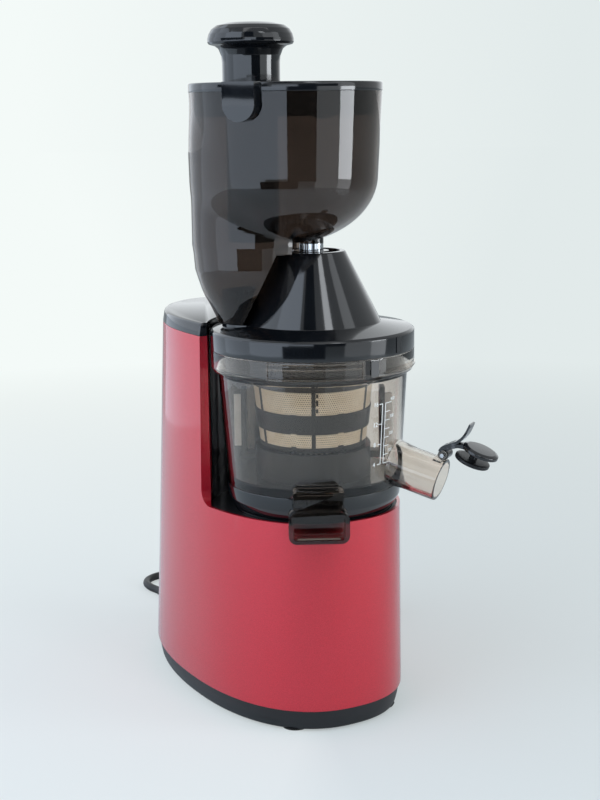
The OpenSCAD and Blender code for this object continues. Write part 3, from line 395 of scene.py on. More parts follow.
def candy_lacquer():
    """Candy red lacquer: a deep red metallic ground, fine bright flakes and a clear glossy coat."""
    mat, tree, shader, _, place_of = finish("candy_red_lacquer", {
        "Metallic": 0.42, "Coat Weight": 1.0, "Coat Roughness": 0.06, "Coat IOR": 1.5, "IOR": 1.5})
    flakes = add(tree, "TexVoronoi", {"Vector": place_of, "Scale": 1 / (0.5 * MM)})
    depth = grain(tree, place_of, 40, 2)
    sparkle = tinted(tree, flakes.outputs["Distance"], "#D62238", "#BC132A", 0.1, 0.6)
    ground = tinted(tree, depth.outputs["Fac"], "#FFF6F6", "#FFFFFF", 0.35, 0.65)
    base = add(tree, "Mix", {"Factor": 1.0}, data_type="RGBA", blend_type="MULTIPLY")
    tree.links.new(sparkle, base.inputs[6])
    tree.links.new(ground, base.inputs[7])
    tree.links.new(base.outputs[2], shader.inputs["Base Color"])
    tree.links.new(ranged(tree, flakes.outputs["Distance"], 0.34, 0.42), shader.inputs["Roughness"])
    # Orange peel of the clear coat, about 2 mm across
    peel = grain(tree, place_of, 2.2, 1)
    relief = add(tree, "Bump", {"Height": peel.outputs["Fac"], "Strength": 0.03, "Distance": 0.1 * MM})
    tree.links.new(relief.outputs[0], shader.inputs["Normal"])
    tree.links.new(relief.outputs[0], shader.inputs["Coat Normal"])
    return mat


def clear_plastic(name, low, high, lamp_tint):
    """Moulded clear plastic with a smoke tint: it bends light, lets lamps through, and varies a little."""
    mat, tree, shader, out, place_of = finish(name, {
        "Transmission Weight": 1.0, "IOR": 1.5, "Roughness": 0.02})
    cloud = grain(tree, place_of, 30, 1)
    tree.links.new(tinted(tree, cloud.outputs["Fac"], low, high), shader.inputs["Base Color"])
    # Flow ripples left by the mould, about 9 mm long
    ripple = grain(tree, place_of, 9, 0)
    relief = add(tree, "Bump", {"Height": ripple.outputs["Fac"], "Strength": 0.02, "Distance": 0.1 * MM})
    tree.links.new(relief.outputs[0], shader.inputs["Normal"])
    lamps = add(tree, "BsdfTransparent", {"Color": paint(lamp_tint)})
    rays = add(tree, "LightPath")
    mix = add(tree, "MixShader", {
        0: rays.outputs["Is Shadow Ray"], 1: shader.outputs[0], 2: lamps.outputs[0]})
    tree.links.new(mix.outputs[0], out.inputs["Surface"])
    return mat


# White ink of the scale
INK = textured("white_ink", "#E9ECEC", "#F5F7F7", 3, (0.5, 0.6), 0.1, 0.5, {"IOR": 1.5})
# The finish of each material slot
FINISHES = {
    "red_paint": candy_lacquer(),
    # Polished black ABS: near black with a cool edge, faint haze from handling
    "black_gloss": textured("polished_black_abs", "#0B0D10", "#101317", 35, (0.06, 0.13), 0.03, 3,
                            {"IOR": 1.52, "Coat Weight": 0.3, "Coat Roughness": 0.04}),
    # Spark-eroded black ABS: a fine even grain that scatters the highlights
    "black_plastic": textured("grained_black_abs", "#0F1113", "#17191C", 20, (0.34, 0.46), 0.12, 0.6,
                              {"IOR": 1.5}),
    # Nitrile rubber: dull and slightly grey
    "black_rubber": textured("nitrile_rubber", "#121212", "#1C1C1B", 6, (0.7, 0.85), 0.3, 0.8, {"IOR": 1.5}),
    # PVC cord jacket: smooth, a soft sheen
    "cord_black": textured("pvc_cord_jacket", "#101011", "#18181A", 12, (0.38, 0.5), 0.15, 1.2, {"IOR": 1.5}),
    # Rolled steel: bright, brushed along its length
    "steel": textured("brushed_steel", "#A9ABAE", "#C9CBCD", 3, (0.22, 0.36), 0.15, 0.4,
                      {"Metallic": 1.0}, (1, 1, 0.1)),
    # Chromed brass
    "chrome": textured("polished_chrome", "#D5D8DB", "#E4E7E9", 20, (0.05, 0.12), 0.03, 1.0,
                       {"Metallic": 1.0}),
    # Enamelled copper wire, drawn in turns
    "copper": textured("enamelled_copper", "#9A4A22", "#C56B38", 2, (0.25, 0.4), 0.6, 0.8,
                       {"Metallic": 0.9}, (0.3, 0.3, 3)),
    # Machined brass
    "brass": textured("machined_brass", "#B08A45", "#C9A45C", 5, (0.25, 0.38), 0.2, 0.4, {"Metallic": 1.0}),
    # Die-cast aluminium: pale, dull, a cast skin
    "aluminium": textured("diecast_aluminium", "#9DA0A3", "#B9BBBD", 5, (0.42, 0.6), 0.35, 0.7,
                          {"Metallic": 1.0}),
    # Glass-fibre circuit board with green solder mask
    "circuit_board": textured("solder_mask_board", "#0C4A22", "#14602E", 4, (0.25, 0.45), 0.2, 0.5,
                              {"IOR": 1.5}),
    # Acetal: white, waxy
    "white_plastic": textured("white_acetal", "#DAD7CD", "#E8E5DC", 15, (0.3, 0.42), 0.1, 1.0,
                              {"IOR": 1.48, "Subsurface Weight": 0.05, "Subsurface Scale": 0.002}),
    # Translucent silicone
    "silicone": textured("pale_silicone", "#BDBBB4", "#D0CEC7", 10, (0.45, 0.6), 0.15, 1.0,
                         {"IOR": 1.41, "Subsurface Weight": 0.1, "Subsurface Scale": 0.002}),
    "silicone_dark": textured("dark_silicone", "#0E0F11", "#17191B", 8, (0.3, 0.42), 0.12, 1.0,
                              {"IOR": 1.41}),
    # Glass-filled resin of the auger: dark, smooth, slightly speckled
    "auger_grey": textured("dark_pei_resin", "#121416", "#1C1F21", 3, (0.22, 0.34), 0.12, 0.8, {"IOR": 1.6}),
    # Etched stainless mesh with a straw tint from annealing
    "mesh_gold": textured("etched_straw_steel", "#E6D8BE", "#F2E8D4", 8, (0.38, 0.55), 0.2, 0.5,
                          {"Metallic": 0.35}),
    "smoke_clear": clear_plastic("light_smoke_tritan", "#EAE2DB", "#EFE8E2", "#F2EEEA"),
    "smoke_dark": clear_plastic("dark_smoke_san", "#6E635D", "#746963", "#90847C")}


# ---- camera ----
CAMERA_AT = (-0.562, -0.954, 0.460)
CAMERA_DROP = 11.25
CAMERA_ROLL = -0.67


def make_camera():
    data = bpy.data.cameras.new("camera")
    data.sensor_width = 36.0
    data.lens = 67.44
    camera = linked("camera", data)
    camera.matrix_world = shift(*CAMERA_AT) @ facing(VIEW_TURN) @ tilt(90 - CAMERA_DROP) @ facing(CAMERA_ROLL)
    bpy.context.scene.camera = camera


make_camera()


# ---- mains cord ----
COIL_START = 34
COIL_STEPS = 98


def coil_point(travel):
    """A point of the coil after so many degrees of travel, clockwise seen from above.

    The first turn lies outside on the floor, the second inside it, the third on top of the second,
    the fourth on the first, and the last part crosses over to the plug on the third layer.
    """
    angle = math.radians(COIL_START - travel)
    inwards = ease((travel - 300) / 60)
    up_once = ease((travel - 600) / 60)
    outwards = ease((travel - 900) / 60)
    up_twice = ease((travel - 1200) / 60)
    r = blend(COIL_OUT_R, COIL_IN_R, inwards - outwards)
    z = CORD_D / 2 + CORD_D * (up_once + up_twice)
    return (COIL_CENTRE[0] + r * math.cos(angle), COIL_CENTRE[1] + r * math.sin(angle), z)


def make_cord():
    travel_end = 4 * 360 + COIL_START
    points = CORD_ROUTE[:-1] + [coil_point(travel_end * k / COIL_STEPS) for k in range(COIL_STEPS + 1)]
    points += [(PLUG_X, PLUG_Y + 14, 17.8), (PLUG_X, PLUG_Y, PLUG_R), (PLUG_X, PLUG_Y - 6, PLUG_R)]
    data = bpy.data.curves.new("mains_cord", "CURVE")
    data.dimensions = "3D"
    data.bevel_depth = CORD_D / 2 * MM
    data.bevel_resolution = 5
    data.resolution_u = 6
    data.use_fill_caps = True
    spline = data.splines.new("BEZIER")
    spline.bezier_points.add(len(points) - 1)
    for knot, point in zip(spline.bezier_points, points):
        knot.co = Vector(point) * MM
        knot.handle_left_type = "AUTO"
        knot.handle_right_type = "AUTO"
    cord = linked("mains_cord", data)
    data.materials.append(FINISHES["cord_black"])
    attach(cord, "base")
    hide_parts("power_cord", "cord_coil")
    return cord


def make_plug():
    """Moulded two-pin earthed plug: ribbed sleeve, waisted grip and a flat face."""
    profile = [(0, 0), (4.1, 0)]
    for i in range(6):
        wider = 0.75 * i
        up = 3.4 * i
        profile += [(4.6 + wider, 1 + up), (4.9 + wider, 3 + up), (4.2 + wider, 3.6 + up)]
    profile += [(9, 22), (12.5, 23, 2), (15.5, 27, 3), (16.6, 34, 4), (18.3, 41, 3), (18.4, 51, 1),
                (17.6, 52, 0.6), (14, 52, 0.5), (14, 50.6, 0.3), (0, 50.6)]
    grip = lathe("plug", rounded(profile, 0.35), 96)
    to_plug = shift(PLUG_X, PLUG_Y, PLUG_R) @ tilt(90)
    return place(grip, "plug_grip", "base", "cord_black", ("plug_body",), matrix=to_plug)


cord = make_cord()
plug = make_plug()


# ---- copies wrapped round the axis ----
def maths(tree, operation, a, b=0.0):
    return add(tree, "Math", {0: a, 1: b}, operation=operation).outputs[0]


def make_wrapping():
    """Geometry Nodes that wrap copies of a cell round the axis, in rows, each turned to face outwards."""
    tree = bpy.data.node_groups.new("wrapped_cells", "GeometryNodeTree")
    ports = [("Cell", "Geometry"), ("Columns", "Int"), ("Rows", "Int"), ("Stagger", "Float"),
             ("Low Radius", "Float"), ("High Radius", "Float"), ("Low Height", "Float"),
             ("High Height", "Float"), ("Finish", "Material")]
    for name, kind in ports:
        tree.interface.new_socket(name, in_out="INPUT", socket_type="NodeSocket" + kind)
    tree.interface.new_socket("Wrapped", in_out="OUTPUT", socket_type="NodeSocketGeometry")
    given = add(tree, "NodeGroupInput").outputs
    index = add(tree, "GeometryNodeInputIndex").outputs[0]
    column = maths(tree, "MODULO", index, given["Columns"])
    row = maths(tree, "FLOOR", maths(tree, "DIVIDE", index, given["Columns"]))
    lag = maths(tree, "MULTIPLY", maths(tree, "MODULO", row, 2.0), given["Stagger"])
    turn = maths(tree, "DIVIDE", maths(tree, "ADD", column, lag), given["Columns"])
    angle = maths(tree, "MULTIPLY", turn, math.tau)
    along = maths(tree, "DIVIDE", maths(tree, "ADD", row, 0.5), given["Rows"])
    radius = add(tree, "MapRange", {"Value": along, "To Min": given["Low Radius"],
                                    "To Max": given["High Radius"]}).outputs[0]
    height = add(tree, "MapRange", {"Value": along, "To Min": given["Low Height"],
                                    "To Max": given["High Height"]}).outputs[0]
    across = maths(tree, "MULTIPLY", radius, maths(tree, "SINE", angle))
    ahead = maths(tree, "MULTIPLY", maths(tree, "MULTIPLY", radius, maths(tree, "COSINE", angle)), -1.0)
    spot = add(tree, "CombineXYZ", {"X": across, "Y": ahead, "Z": height}).outputs[0]
    facing_out = add(tree, "CombineXYZ", {"Z": angle}).outputs[0]
    count = maths(tree, "MULTIPLY", given["Columns"], given["Rows"])
    points = add(tree, "GeometryNodePoints", {"Count": count, "Position": spot})
    copies = add(tree, "GeometryNodeInstanceOnPoints", {
        "Points": points.outputs[0], "Instance": given["Cell"], "Rotation": facing_out})
    real = add(tree, "GeometryNodeRealizeInstances", {0: copies.outputs[0]})
    made = add(tree, "GeometryNodeSetMaterial", {"Geometry": real.outputs[0], "Material": given["Finish"]})
    add(tree, "NodeGroupOutput", {0: made.outputs[0]})
    return tree


WRAPPING = make_wrapping()


def wrapped(cell, material, columns, rows, radii, heights, stagger=0.0):
    """Wraps copies of a cell that faces the front round the axis."""
    step = cell.modifiers.new("wrapped", "NODES")
    step.node_group = WRAPPING
    given = {"Columns": columns, "Rows": rows, "Stagger": stagger, "Finish": material,
             "Low Radius": float(radii[0]), "High Radius": float(radii[1]),
             "Low Height": float(heights[0]), "High Height": float(heights[1])}
    for port in WRAPPING.interface.items_tree:
        if port.name in given:
            step[port.identifier] = given[port.name]
    return settle(cell)


def gather(name, objects):
    """Puts several shapes into one mesh, as they are."""
    shape = bmesh.new()
    for obj in objects:
        shape.from_mesh(obj.data)
        bpy.data.objects.remove(obj)
    return poured(name, shape)


def hull(name, points):
    shape = bmesh.new()
    corners = [shape.verts.new(p) for p in points]
    found = bmesh.ops.convex_hull(shape, input=corners)
    spare = [v for v in found["geom_interior"] if isinstance(v, bmesh.types.BMVert)]
    bmesh.ops.delete(shape, geom=spare, context="VERTS")
    bmesh.ops.recalc_face_normals(shape, faces=shape.faces)
    return poured(name, shape)


def corners_of(low, high):
    return [(x, y, z) for x in (low[0], high[0]) for y in (low[1], high[1]) for z in (low[2], high[2])]


def bar_x(name, r, x0, x1):
    """A round bar along X."""
    return turned(post(name, r, x0, x1, 48), tilt(90, "Y"))


def arc_strip(name, r_in, r_out, z0, z1, a0, a1, step=1.5):
    """A strip of a ring between two azimuths."""
    count = max(2, int(abs(a1 - a0) / step))
    rings = []
    for k in range(count + 1):
        a = math.radians(blend(a0, a1, k / count))
        rings.append([(r * math.sin(a), -r * math.cos(a), z) for r, z in
                      ((r_in, z0), (r_out, z0), (r_out, z1), (r_in, z1))])
    return stack(name, rings)


# ---- base ----
def wave(c, power):
    return math.copysign(abs(c) ** (2 / power), c)


def up_body(low, high, z):
    """A value that runs from the seam to the top of the column."""
    return blend(low, high, (z - SEAM_Z) / (COLUMN_Z - SEAM_Z))


def outline(z, inset=0.0, count=180):
    """The body's plan at a height: a superellipse with a short front half and a long rear half."""
    front = up_body(FRONT_Y, FRONT_TOP_Y, z) - inset + WIDEST_Y
    rear = up_body(REAR_Y, REAR_TOP_Y, z) - inset - WIDEST_Y
    half = up_body(HALF_W, HALF_TOP_W, z) - inset
    out = []
    for i in range(count):
        a = math.tau * i / count
        c = math.cos(a)
        power, reach = (FRONT_POWER, front) if c > 0 else (REAR_POWER, rear)
        out.append((half * wave(math.sin(a), power), WIDEST_Y - reach * wave(c, power)))
    return out


def body_stack(name, levels, count=180):
    return stack(name, [[(x, y, z) for x, y in outline(z, inset, count)] for z, inset in levels])


def front_space(name, back=0.0):
    """What stays open in front of the column: its side view has one round corner at the rim."""
    side = [(-FAR, HIGH_Z), (-FAR, DECK_Z)]
    for k in range(13):
        a = math.radians(-90 + 7.5 * k)
        side.append((COLUMN_Y - CORNER_R + CORNER_R * math.cos(a) + back,
                     DECK_Z + CORNER_R + CORNER_R * math.sin(a)))
    side.append((COLUMN_Y + back, HIGH_Z))
    return stack(name, [[(x, y, z) for y, z in side] for x in (-FAR, FAR)])


SWITCH_Z = 78
REAR_LEAN = math.degrees(math.atan((REAR_Y - REAR_TOP_Y) / (COLUMN_Z - SEAM_Z)))
SWITCH_AT = shift(0, up_body(REAR_Y, REAR_TOP_Y, SWITCH_Z), SWITCH_Z) @ tilt(REAR_LEAN)
GLAND_Z = 36
GLAND_Y = up_body(REAR_Y, REAR_TOP_Y, GLAND_Z)


def make_shell():
    levels = [(SEAM_Z, 0.7), (SEAM_Z + 0.5, 0.1)] + [(SEAM_Z + 1.5 + 18 * k, 0) for k in range(15)]
    levels += [(COLUMN_Z - 1, 0), (COLUMN_Z, 0.2)]
    shell = body_stack("shell", levels)
    cut(shell, body_stack("inside", [(SEAM_Z - 2, SHELL_WALL), (COLUMN_Z + 2, SHELL_WALL)]))
    cut(shell, front_space("front"))
    cut(shell, post("recess", RECESS_R, DECK_Z + CORNER_R, HIGH_Z))
    # The column's front edges return into the recess
    lip = body_stack("lip", [(DECK_Z, SHELL_WALL - 0.3), (COLUMN_Z, SHELL_WALL - 0.3)])
    keep(lip, front_space("lip_reach", 8))
    cut(lip, front_space("lip_front"), post("lip_recess", RECESS_R, 100, HIGH_Z))
    join(shell, lip)
    room = extruded("switch_room", rounded_box(26, 32, 2), -20, 20)
    cut(shell, turned(room, SWITCH_AT @ tilt(90)))
    cut(shell, turned(post("gland_room", 8.05, -20, 20, 64), shift(0, GLAND_Y, GLAND_Z) @ tilt(90)))
    round_edges(shell, 0.9, 3, 55)
    place(shell, "shell", "base", "red_paint", ("body_shell",), 32)


def make_recess():
    wall = lathe("recess", [(RECESS_R, 156), (RECESS_R + 2.5, 156), (RECESS_R + 2.5, COLUMN_Z - 0.4),
                            (RECESS_R, COLUMN_Z - 0.4)], 240)
    keep(wall, body_stack("inside", [(150, SHELL_WALL + 0.1), (300, SHELL_WALL + 0.1)]))
    cut(wall, front_space("front", 8.2))
    place(wall, "recess_wall", "base", "black_gloss", ("recess_liner",))


def make_cap():
    levels = [(COLUMN_Z, 0.5), (COLUMN_Z + 0.5, 0), (COLUMN_Z + 7.2, 0.9), (COLUMN_Z + 8.6, 1.4),
              (COLUMN_Z + 9.5, 2.4), (COLUMN_Z + 10, 4.2)]
    cap = body_stack("cap", levels, 240)
    cut(cap, box("front", (-FAR, -FAR, CAP_CUT_Z), (FAR, COLUMN_Y, HIGH_Z)),
        post("recess", RECESS_R, CAP_CUT_Z, HIGH_Z))
    round_edges(cap, 0.9)
    skirt = body_stack("skirt", [(COLUMN_Z - 5, SHELL_WALL + 0.1), (COLUMN_Z + 0.1, SHELL_WALL + 0.1)])
    cut(skirt, body_stack("skirt_in", [(COLUMN_Z - 6, SHELL_WALL + 2.4), (COLUMN_Z + 1, SHELL_WALL + 2.4)]))
    cut(skirt, box("front", (-FAR, -FAR, CAP_CUT_Z), (FAR, COLUMN_Y + 8, HIGH_Z)),
        post("recess", RECESS_R + 2.6, CAP_CUT_Z, HIGH_Z))
    place(gather("cap", [cap, skirt]), "column_top", "base", "black_gloss", ("column_cap",))


def make_plinth():
    plinth = body_stack("plinth", [(1.5, 5.6), (2.1, 4.7), (3.4, 4.1), (8, 2.9), (13, 2), (SEAM_Z, 1.7)])
    cut(plinth, body_stack("inside", [(4.5, 7.5), (SEAM_Z + 1, 3.4)]))
    slots = [box("slot", (9 * i - 2, 56, 0), (9 * i + 2, 112, 16)) for i in range(-4, 5)]
    cut(plinth, gather("slots", slots))
    place(plinth, "plinth_skirt", "base", "black_plastic", ("plinth",))


def make_switch():
    """The bezel round the rocker, with a raised rounded rim."""
    bezel = extruded("bezel", rounded_box(28, 34, 3), 0, 2)
    join(bezel, extruded("sleeve", rounded_box(25.6, 31.6, 1.6), -10, 0.5))
    cut(bezel, extruded("hole", rounded_box(21.6, 27.6, 1.2), -9, 5))
    round_edges(bezel, 0.6)
    place(bezel, "switch_frame", "base", "black_plastic", ("switch_bezel",),
          matrix=SWITCH_AT @ tilt(-90))


def make_gland():
    """Tapered strain relief with five ribs, moulded round the cord."""
    profile = [(0, 0), (8, 0), (8, 6.2), (8, 7.4), (10, 7.6, 0.4), (10, 9.9, 0.8), (7.8, 10.2)]
    for k in range(5):
        r = blend(7.6, 5.3, k / 4)
        up = 1.85 * k
        profile += [(r, 10.6 + up), (r - 0.2, 11.5 + up), (r - 1.1, 11.7 + up), (r - 1.2, 12.3 + up)]
    profile += [(4.7, 20.1, 0.3), (0, 20.1)]
    relief = lathe("relief", rounded(profile, 0.25), 96)
    place(relief, "strain_relief", "base", "black_rubber", ("cord_gland",),
          matrix=shift(0, GLAND_Y - SHELL_WALL - 4, GLAND_Z) @ tilt(-90))


# ---- juice bowl ----
def bowl_at(z):
    return blend(BOWL_R, BOWL_TOP_R, (z - BOWL_Z) / (FLANGE_Z - 3 - BOWL_Z))


def make_ring():
    foot = 59.5
    profile = [(foot - 7, 156), (foot, 156), (foot, 161.6), (foot + 2.6, 164, 3), (65.2, 170, 3),
               (BOWL_R, BOWL_Z, 0.5), (19, BOWL_Z), (19, 176), (foot - 4, 176), (foot - 4, 162),
               (foot - 7, 162)]
    ring = lathe("ring", rounded(profile, 0.5), 180)
    for a in (0, 120, 240):
        cut(ring, turned(box("lug", (-14, -57, 155), (14, -47, 167)), facing(a)))
    cut(ring, turned(box("neck", (-18.2, -90, 173), (18.2, -48, 203)), facing(PULP_AZIMUTH)))
    place(ring, "bowl_ring", "bowl", "black_gloss", ("bowl_base",))


SPOUT_AT = facing(JUICE_AZIMUTH) @ shift(0, -SPOUT_ROOT, SPOUT_Z) @ tilt(90 + SPOUT_SLOPE)


def make_bowl():
    wall = BOWL_WALL
    profile = [(15, BOWL_Z), (BOWL_R, BOWL_Z, 0.8), (BOWL_TOP_R, FLANGE_Z - 3, 1),
               (BOWL_TOP_R, FLANGE_Z, 0.6), (FLANGE_R - 1.6, FLANGE_Z, 0.8), (FLANGE_R, FLANGE_Z + 3, 1.5),
               (FLANGE_R, LID_Z - 0.1, 0.6), (FLANGE_IN_R, LID_Z - 0.1, 0.6), (FLANGE_IN_R, FLANGE_Z + 3, 1),
               (BOWL_TOP_R - wall, FLANGE_Z - 3, 1), (BOWL_R - wall, BOWL_Z + 4, 4), (40.3, BOWL_Z + 4),
               (40.3, 199), (37.5, 199), (37.5, BOWL_Z + 4), (18, BOWL_Z + 4), (18, 200), (15, 200)]
    bowl = lathe("bowl", rounded(profile, 0.4), 180)
    tube = [(0, -6), (SPOUT_R + 1.5, -6), (SPOUT_R + 0.6, 2, 3), (SPOUT_R, 8, 3), (SPOUT_R, SPOUT_L, 0.9),
            (0, SPOUT_L)]
    join(bowl, turned(lathe("tube", rounded(tube, 0.3), 96), SPOUT_AT))
    for x in (-7.4, 5.4):
        rim = [(x + side, -HINGE_Y + 3.2 * math.sin(a), HINGE_Z + 3.2 * math.cos(a))
               for a in [math.tau * k / 24 for k in range(24)] for side in (0, 2)]
        root = corners_of((x, -HINGE_Y + 4, HINGE_Z - 8.5), (x + 2, -HINGE_Y + 8, HINGE_Z - 4.5))
        join(bowl, turned(hull("ear", rim + root), facing(JUICE_AZIMUTH)))
    post_at = (26.25 * math.sin(math.radians(150)), -26.25 * math.cos(math.radians(150)))
    pin = [(0, 183), (6, 183), (6, 200.2), (3, 200.2), (3, 207), (0, 207)]
    join(bowl, lathe("idler_post", pin, 48, post_at))
    cut(bowl, turned(post("bore", SPOUT_R - SPOUT_WALL, -14, SPOUT_L + 6, 96), SPOUT_AT))
    cut(bowl, turned(box("way_out", (-14.8, -90, 178), (14.8, -48, 190)), facing(PULP_AZIMUTH)))
    cut(bowl, turned(box("neck_room", (-18.1, -90, 175), (18.1, -62, 188.1)), facing(PULP_AZIMUTH)))
    place(bowl, "clear_bowl", "bowl", "smoke_clear", ("juice_bowl",), 40)


def make_flange_marks():
    """Moulded rails of the bayonet, and the lock mark beside them."""
    r = FLANGE_R
    rails = [arc_strip("rail", r - 0.4, r + 0.8, z, z + 1.1, -56, -3) for z in (267.5, 274.6, 278.4)]
    rails += [arc_strip("stop", r - 0.4, r + 0.8, 267.5, 279.5, a, a + 1) for a in (-56, -3)]
    rails += [arc_strip("rail", r - 0.4, r + 0.8, 269, 270, 12, 62)]
    place(gather("rails", rails), "flange_rails", "bowl", "smoke_clear", (), 40)
    mark = [arc_strip("mark", r + 0.02, r + 0.5, 268, 279.8, 2.4, 7.4)]
    place(gather("mark", mark), "lock_mark", "bowl", "black_gloss")


SCALE_AZIMUTH = 17
SCALE_Z, SCALE_TOP_Z = 201, 246
INK_DEPTH = 0.16


def on_wall(flat):
    """Wraps a flat shape, drawn to the right and up from the scale's foot, round the bowl's outer wall."""
    for v in flat.data.vertices:
        z = SCALE_Z + v.co.y
        r = bowl_at(z) + 0.02 + v.co.z * INK_DEPTH
        a = math.radians(SCALE_AZIMUTH) + v.co.x / bowl_at(SCALE_Z)
        v.co = (r * math.sin(a), -r * math.cos(a), z)
    flat.data.update()
    return flat


def bar(x0, y0, x1, y1, steps=6):
    rings = []
    for k in range(steps + 1):
        x = blend(x0, x1, k / steps)
        rings.append([(x, y0, 0), (x, y1, 0), (x, y1, 1), (x, y0, 1)])
    return stack("bar", rings)


def numeral(text, x, y, size):
    curve = bpy.data.curves.new("numeral", "FONT")
    curve.body = text
    curve.size = size
    curve.extrude = 0.5
    curve.align_x = "CENTER"
    curve.align_y = "CENTER"
    curve.resolution_u = 4
    obj = linked("numeral", curve)
    graph = bpy.context.evaluated_depsgraph_get()
    mesh = bpy.data.meshes.new_from_object(obj.evaluated_get(graph))
    bpy.data.objects.remove(obj)
    mesh.transform(shift(x, y, 0.5))
    return linked("numeral", mesh)


def make_scale():
    """The printed scale: two upright lines, ticks to both sides, and plain numbers."""
    rise = SCALE_TOP_Z - SCALE_Z
    shapes = [bar(x - 0.28, 0, x + 0.28, rise) for x in (-1.6, 1.6)]
    for k in range(4):
        z = rise * k / 3
        shapes += [bar(-5, z - 0.25, -1.6, z + 0.25), numeral(str(4 * (k + 1)), -8, z, 4.6)]
    for k in range(8):
        z = rise * k / 7
        shapes.append(bar(1.6, z - 0.25, 8.6 if k % 7 == 0 else 7.2, z + 0.25))
        if k % 2 == 1:
            shapes.append(numeral(str(50 * (k + 1)), 9.6, z + 2.2, 3.4))
    shapes = [on_wall(shape) for shape in shapes]
    place(gather("scale", shapes), "printed_scale", "bowl", "smoke_clear", (), 40, look=INK)


def make_pulp_spout():
    neck = box("neck", (-18, -79, 175), (18, -62.4, 188))
    mouth_at = shift(0, -68, 152 + 11.5) @ tilt(90)
    mouth = turned(extruded("mouth", rounded_box(43.5, 23, 6), 0, 17), mouth_at)
    spout = join(neck, mouth)
    hole = turned(extruded("hole", rounded_box(37.1, 16.6, 3.5), 1.5, 40), mouth_at)
    cut(spout, hole, box("inside", (-14.8, -75.8, 172), (14.8, -10, 185)))
    cut(spout, post("bowl_room", 63, 140, 220), post("ring_room", BOWL_R + 0.3, 150, 175))
    round_edges(spout, 0.8)
    place(spout, "pulp_chute", "bowl", "smoke_dark", ("pulp_spout",), 40, facing(PULP_AZIMUTH))


def ribbon(name, path, thick_start, thick_end, width, steps=6):
    """A strip of plastic along a curve drawn in the side view, as wide as said across it."""
    line = []
    for i in range(len(path) - 1):
        knots = [Vector(path[min(len(path) - 1, max(0, i + k))]) for k in (-1, 0, 1, 2)]
        for s in range(steps):
            t = s / steps
            line.append(0.5 * (2 * knots[1] + (knots[2] - knots[0]) * t
                               + (2 * knots[0] - 5 * knots[1] + 4 * knots[2] - knots[3]) * t * t
                               + (3 * knots[1] - knots[0] - 3 * knots[2] + knots[3]) * t ** 3))
    line.append(Vector(path[-1]))
    rings = []
    for i, here in enumerate(line):
        ahead = (line[min(i + 1, len(line) - 1)] - line[max(i - 1, 0)]).normalized()
        across = Vector((-ahead.y, ahead.x)) * blend(thick_start, thick_end, i / (len(line) - 1)) / 2
        a = here + across
        b = here - across
        half = width / 2
        rings.append([(-half, a.x, a.y), (half, a.x, a.y), (half, b.x, b.y), (-half, b.x, b.y)])
    return stack(name, rings)


def make_spout_cap():
    """The cap is shaped shut, then turned open about its pin."""
    hinge = shift(0, -HINGE_Y, HINGE_Z)
    opened = facing(JUICE_AZIMUTH) @ hinge @ tilt(-CAP_OPEN) @ hinge.inverted()
    shut = shift(0, -SPOUT_ROOT, SPOUT_Z) @ tilt(90 + SPOUT_SLOPE) @ shift(0, 0, SPOUT_L + 0.6)
    stalk = post("stalk", 3, 2.9, 9.5, 48)
    plate = [(0, 9), (13.5, 9, 0.5), (13.5, 11.4, 1), (10.8, 12.5, 1.5), (0, 12.6)]
    cover = turned(lathe("cover", rounded(plate, 0.3), 96), shift(0, -3, 0))
    cover = turned(join(cover, stalk), opened @ shut)
    # Strap from the barrel to the plate, and the thumb lever that sweeps up from it
    strap = ribbon("strap", [(-1, 3.2), (-5, 5.4), (-11, 7.1), (-17, 6.2)], 2.6, 2.6, 10)
    sweep = [(2.6, 2.2), (0.4, 5.2), (-5, 7.6), (-11, 10.4), (-15.6, 15), (-18.4, 20), (-20, 23.8)]
    lever = ribbon("lever", sweep, 2.8, 1.3, 11)
    side = facing(JUICE_AZIMUTH) @ hinge
    for part in (strap, lever, bar_x("barrel", 4, -5.1, 5.1)):
        join(cover, turned(part, side))
    cut(cover, turned(bar_x("pin_room", 1.56, -20, 20), side))
    round_edges(cover, 0.45)
    place(cover, "spout_lid", "spout_cap", "black_gloss", ("spout_cap",))
    dish = [(0, 0.9), (8, 0.7, 3), (10.8, 0, 1), (13.1, 0.2, 0.6), (13.2, 2.6, 0.5), (11, 3), (0, 3)]
    seal = lathe("seal", rounded(dish, 0.4), 96)
    place(seal, "spout_seal", "spout_cap", "silicone_dark", ("cap_seal",), 35, opened @ shut)


# ---- strainer ----
def strainer_at(z):
    return blend(STRAINER_R, STRAINER_TOP_R, (z - STRAINER_Z) / (STRAINER_TOP_Z - STRAINER_Z))


def make_strainer():
    wall = 1.6
    proud = 0.8
    floor_top = STRAINER_Z + 2.4
    (z0, z1, _), (z2, z3, _) = MESH_BANDS
    low = [(16, STRAINER_Z), (STRAINER_R, STRAINER_Z, 0.6), (strainer_at(z0), z0),
           (strainer_at(z0) - wall, z0), (strainer_at(floor_top) - wall, floor_top, 0.5), (16, floor_top)]
    middle = [(strainer_at(z1) - wall, z1), (strainer_at(z1) + proud, z1, 0.3),
              (strainer_at(z2) + proud, z2, 0.3), (strainer_at(z2) - wall, z2)]
    top = [(strainer_at(z3) - wall, z3), (strainer_at(z3) + proud, z3, 0.4), (47.3, STRAINER_TOP_Z, 1.5),
           (67.4, STRAINER_TOP_Z, 0.5), (67.4, 264.4, 0.5), (44.9, 264.4, 0.4), (44.9, STRAINER_TOP_Z)]
    parts = [lathe("band", rounded(profile, 0.3)) for profile in (low, middle, top)]
    for i in range(6):
        rib = hull("rib", [(x, -strainer_at(z) + y, z)
                           for x in (-1.5, 1.5) for z in (209, STRAINER_TOP_Z) for y in (0.0, 0.9)])
        parts.append(turned(rib, facing(60 * i + 30)))
    place(gather("strainer", parts), "strainer_cage", "bowl", "black_plastic", ("strainer_frame",))


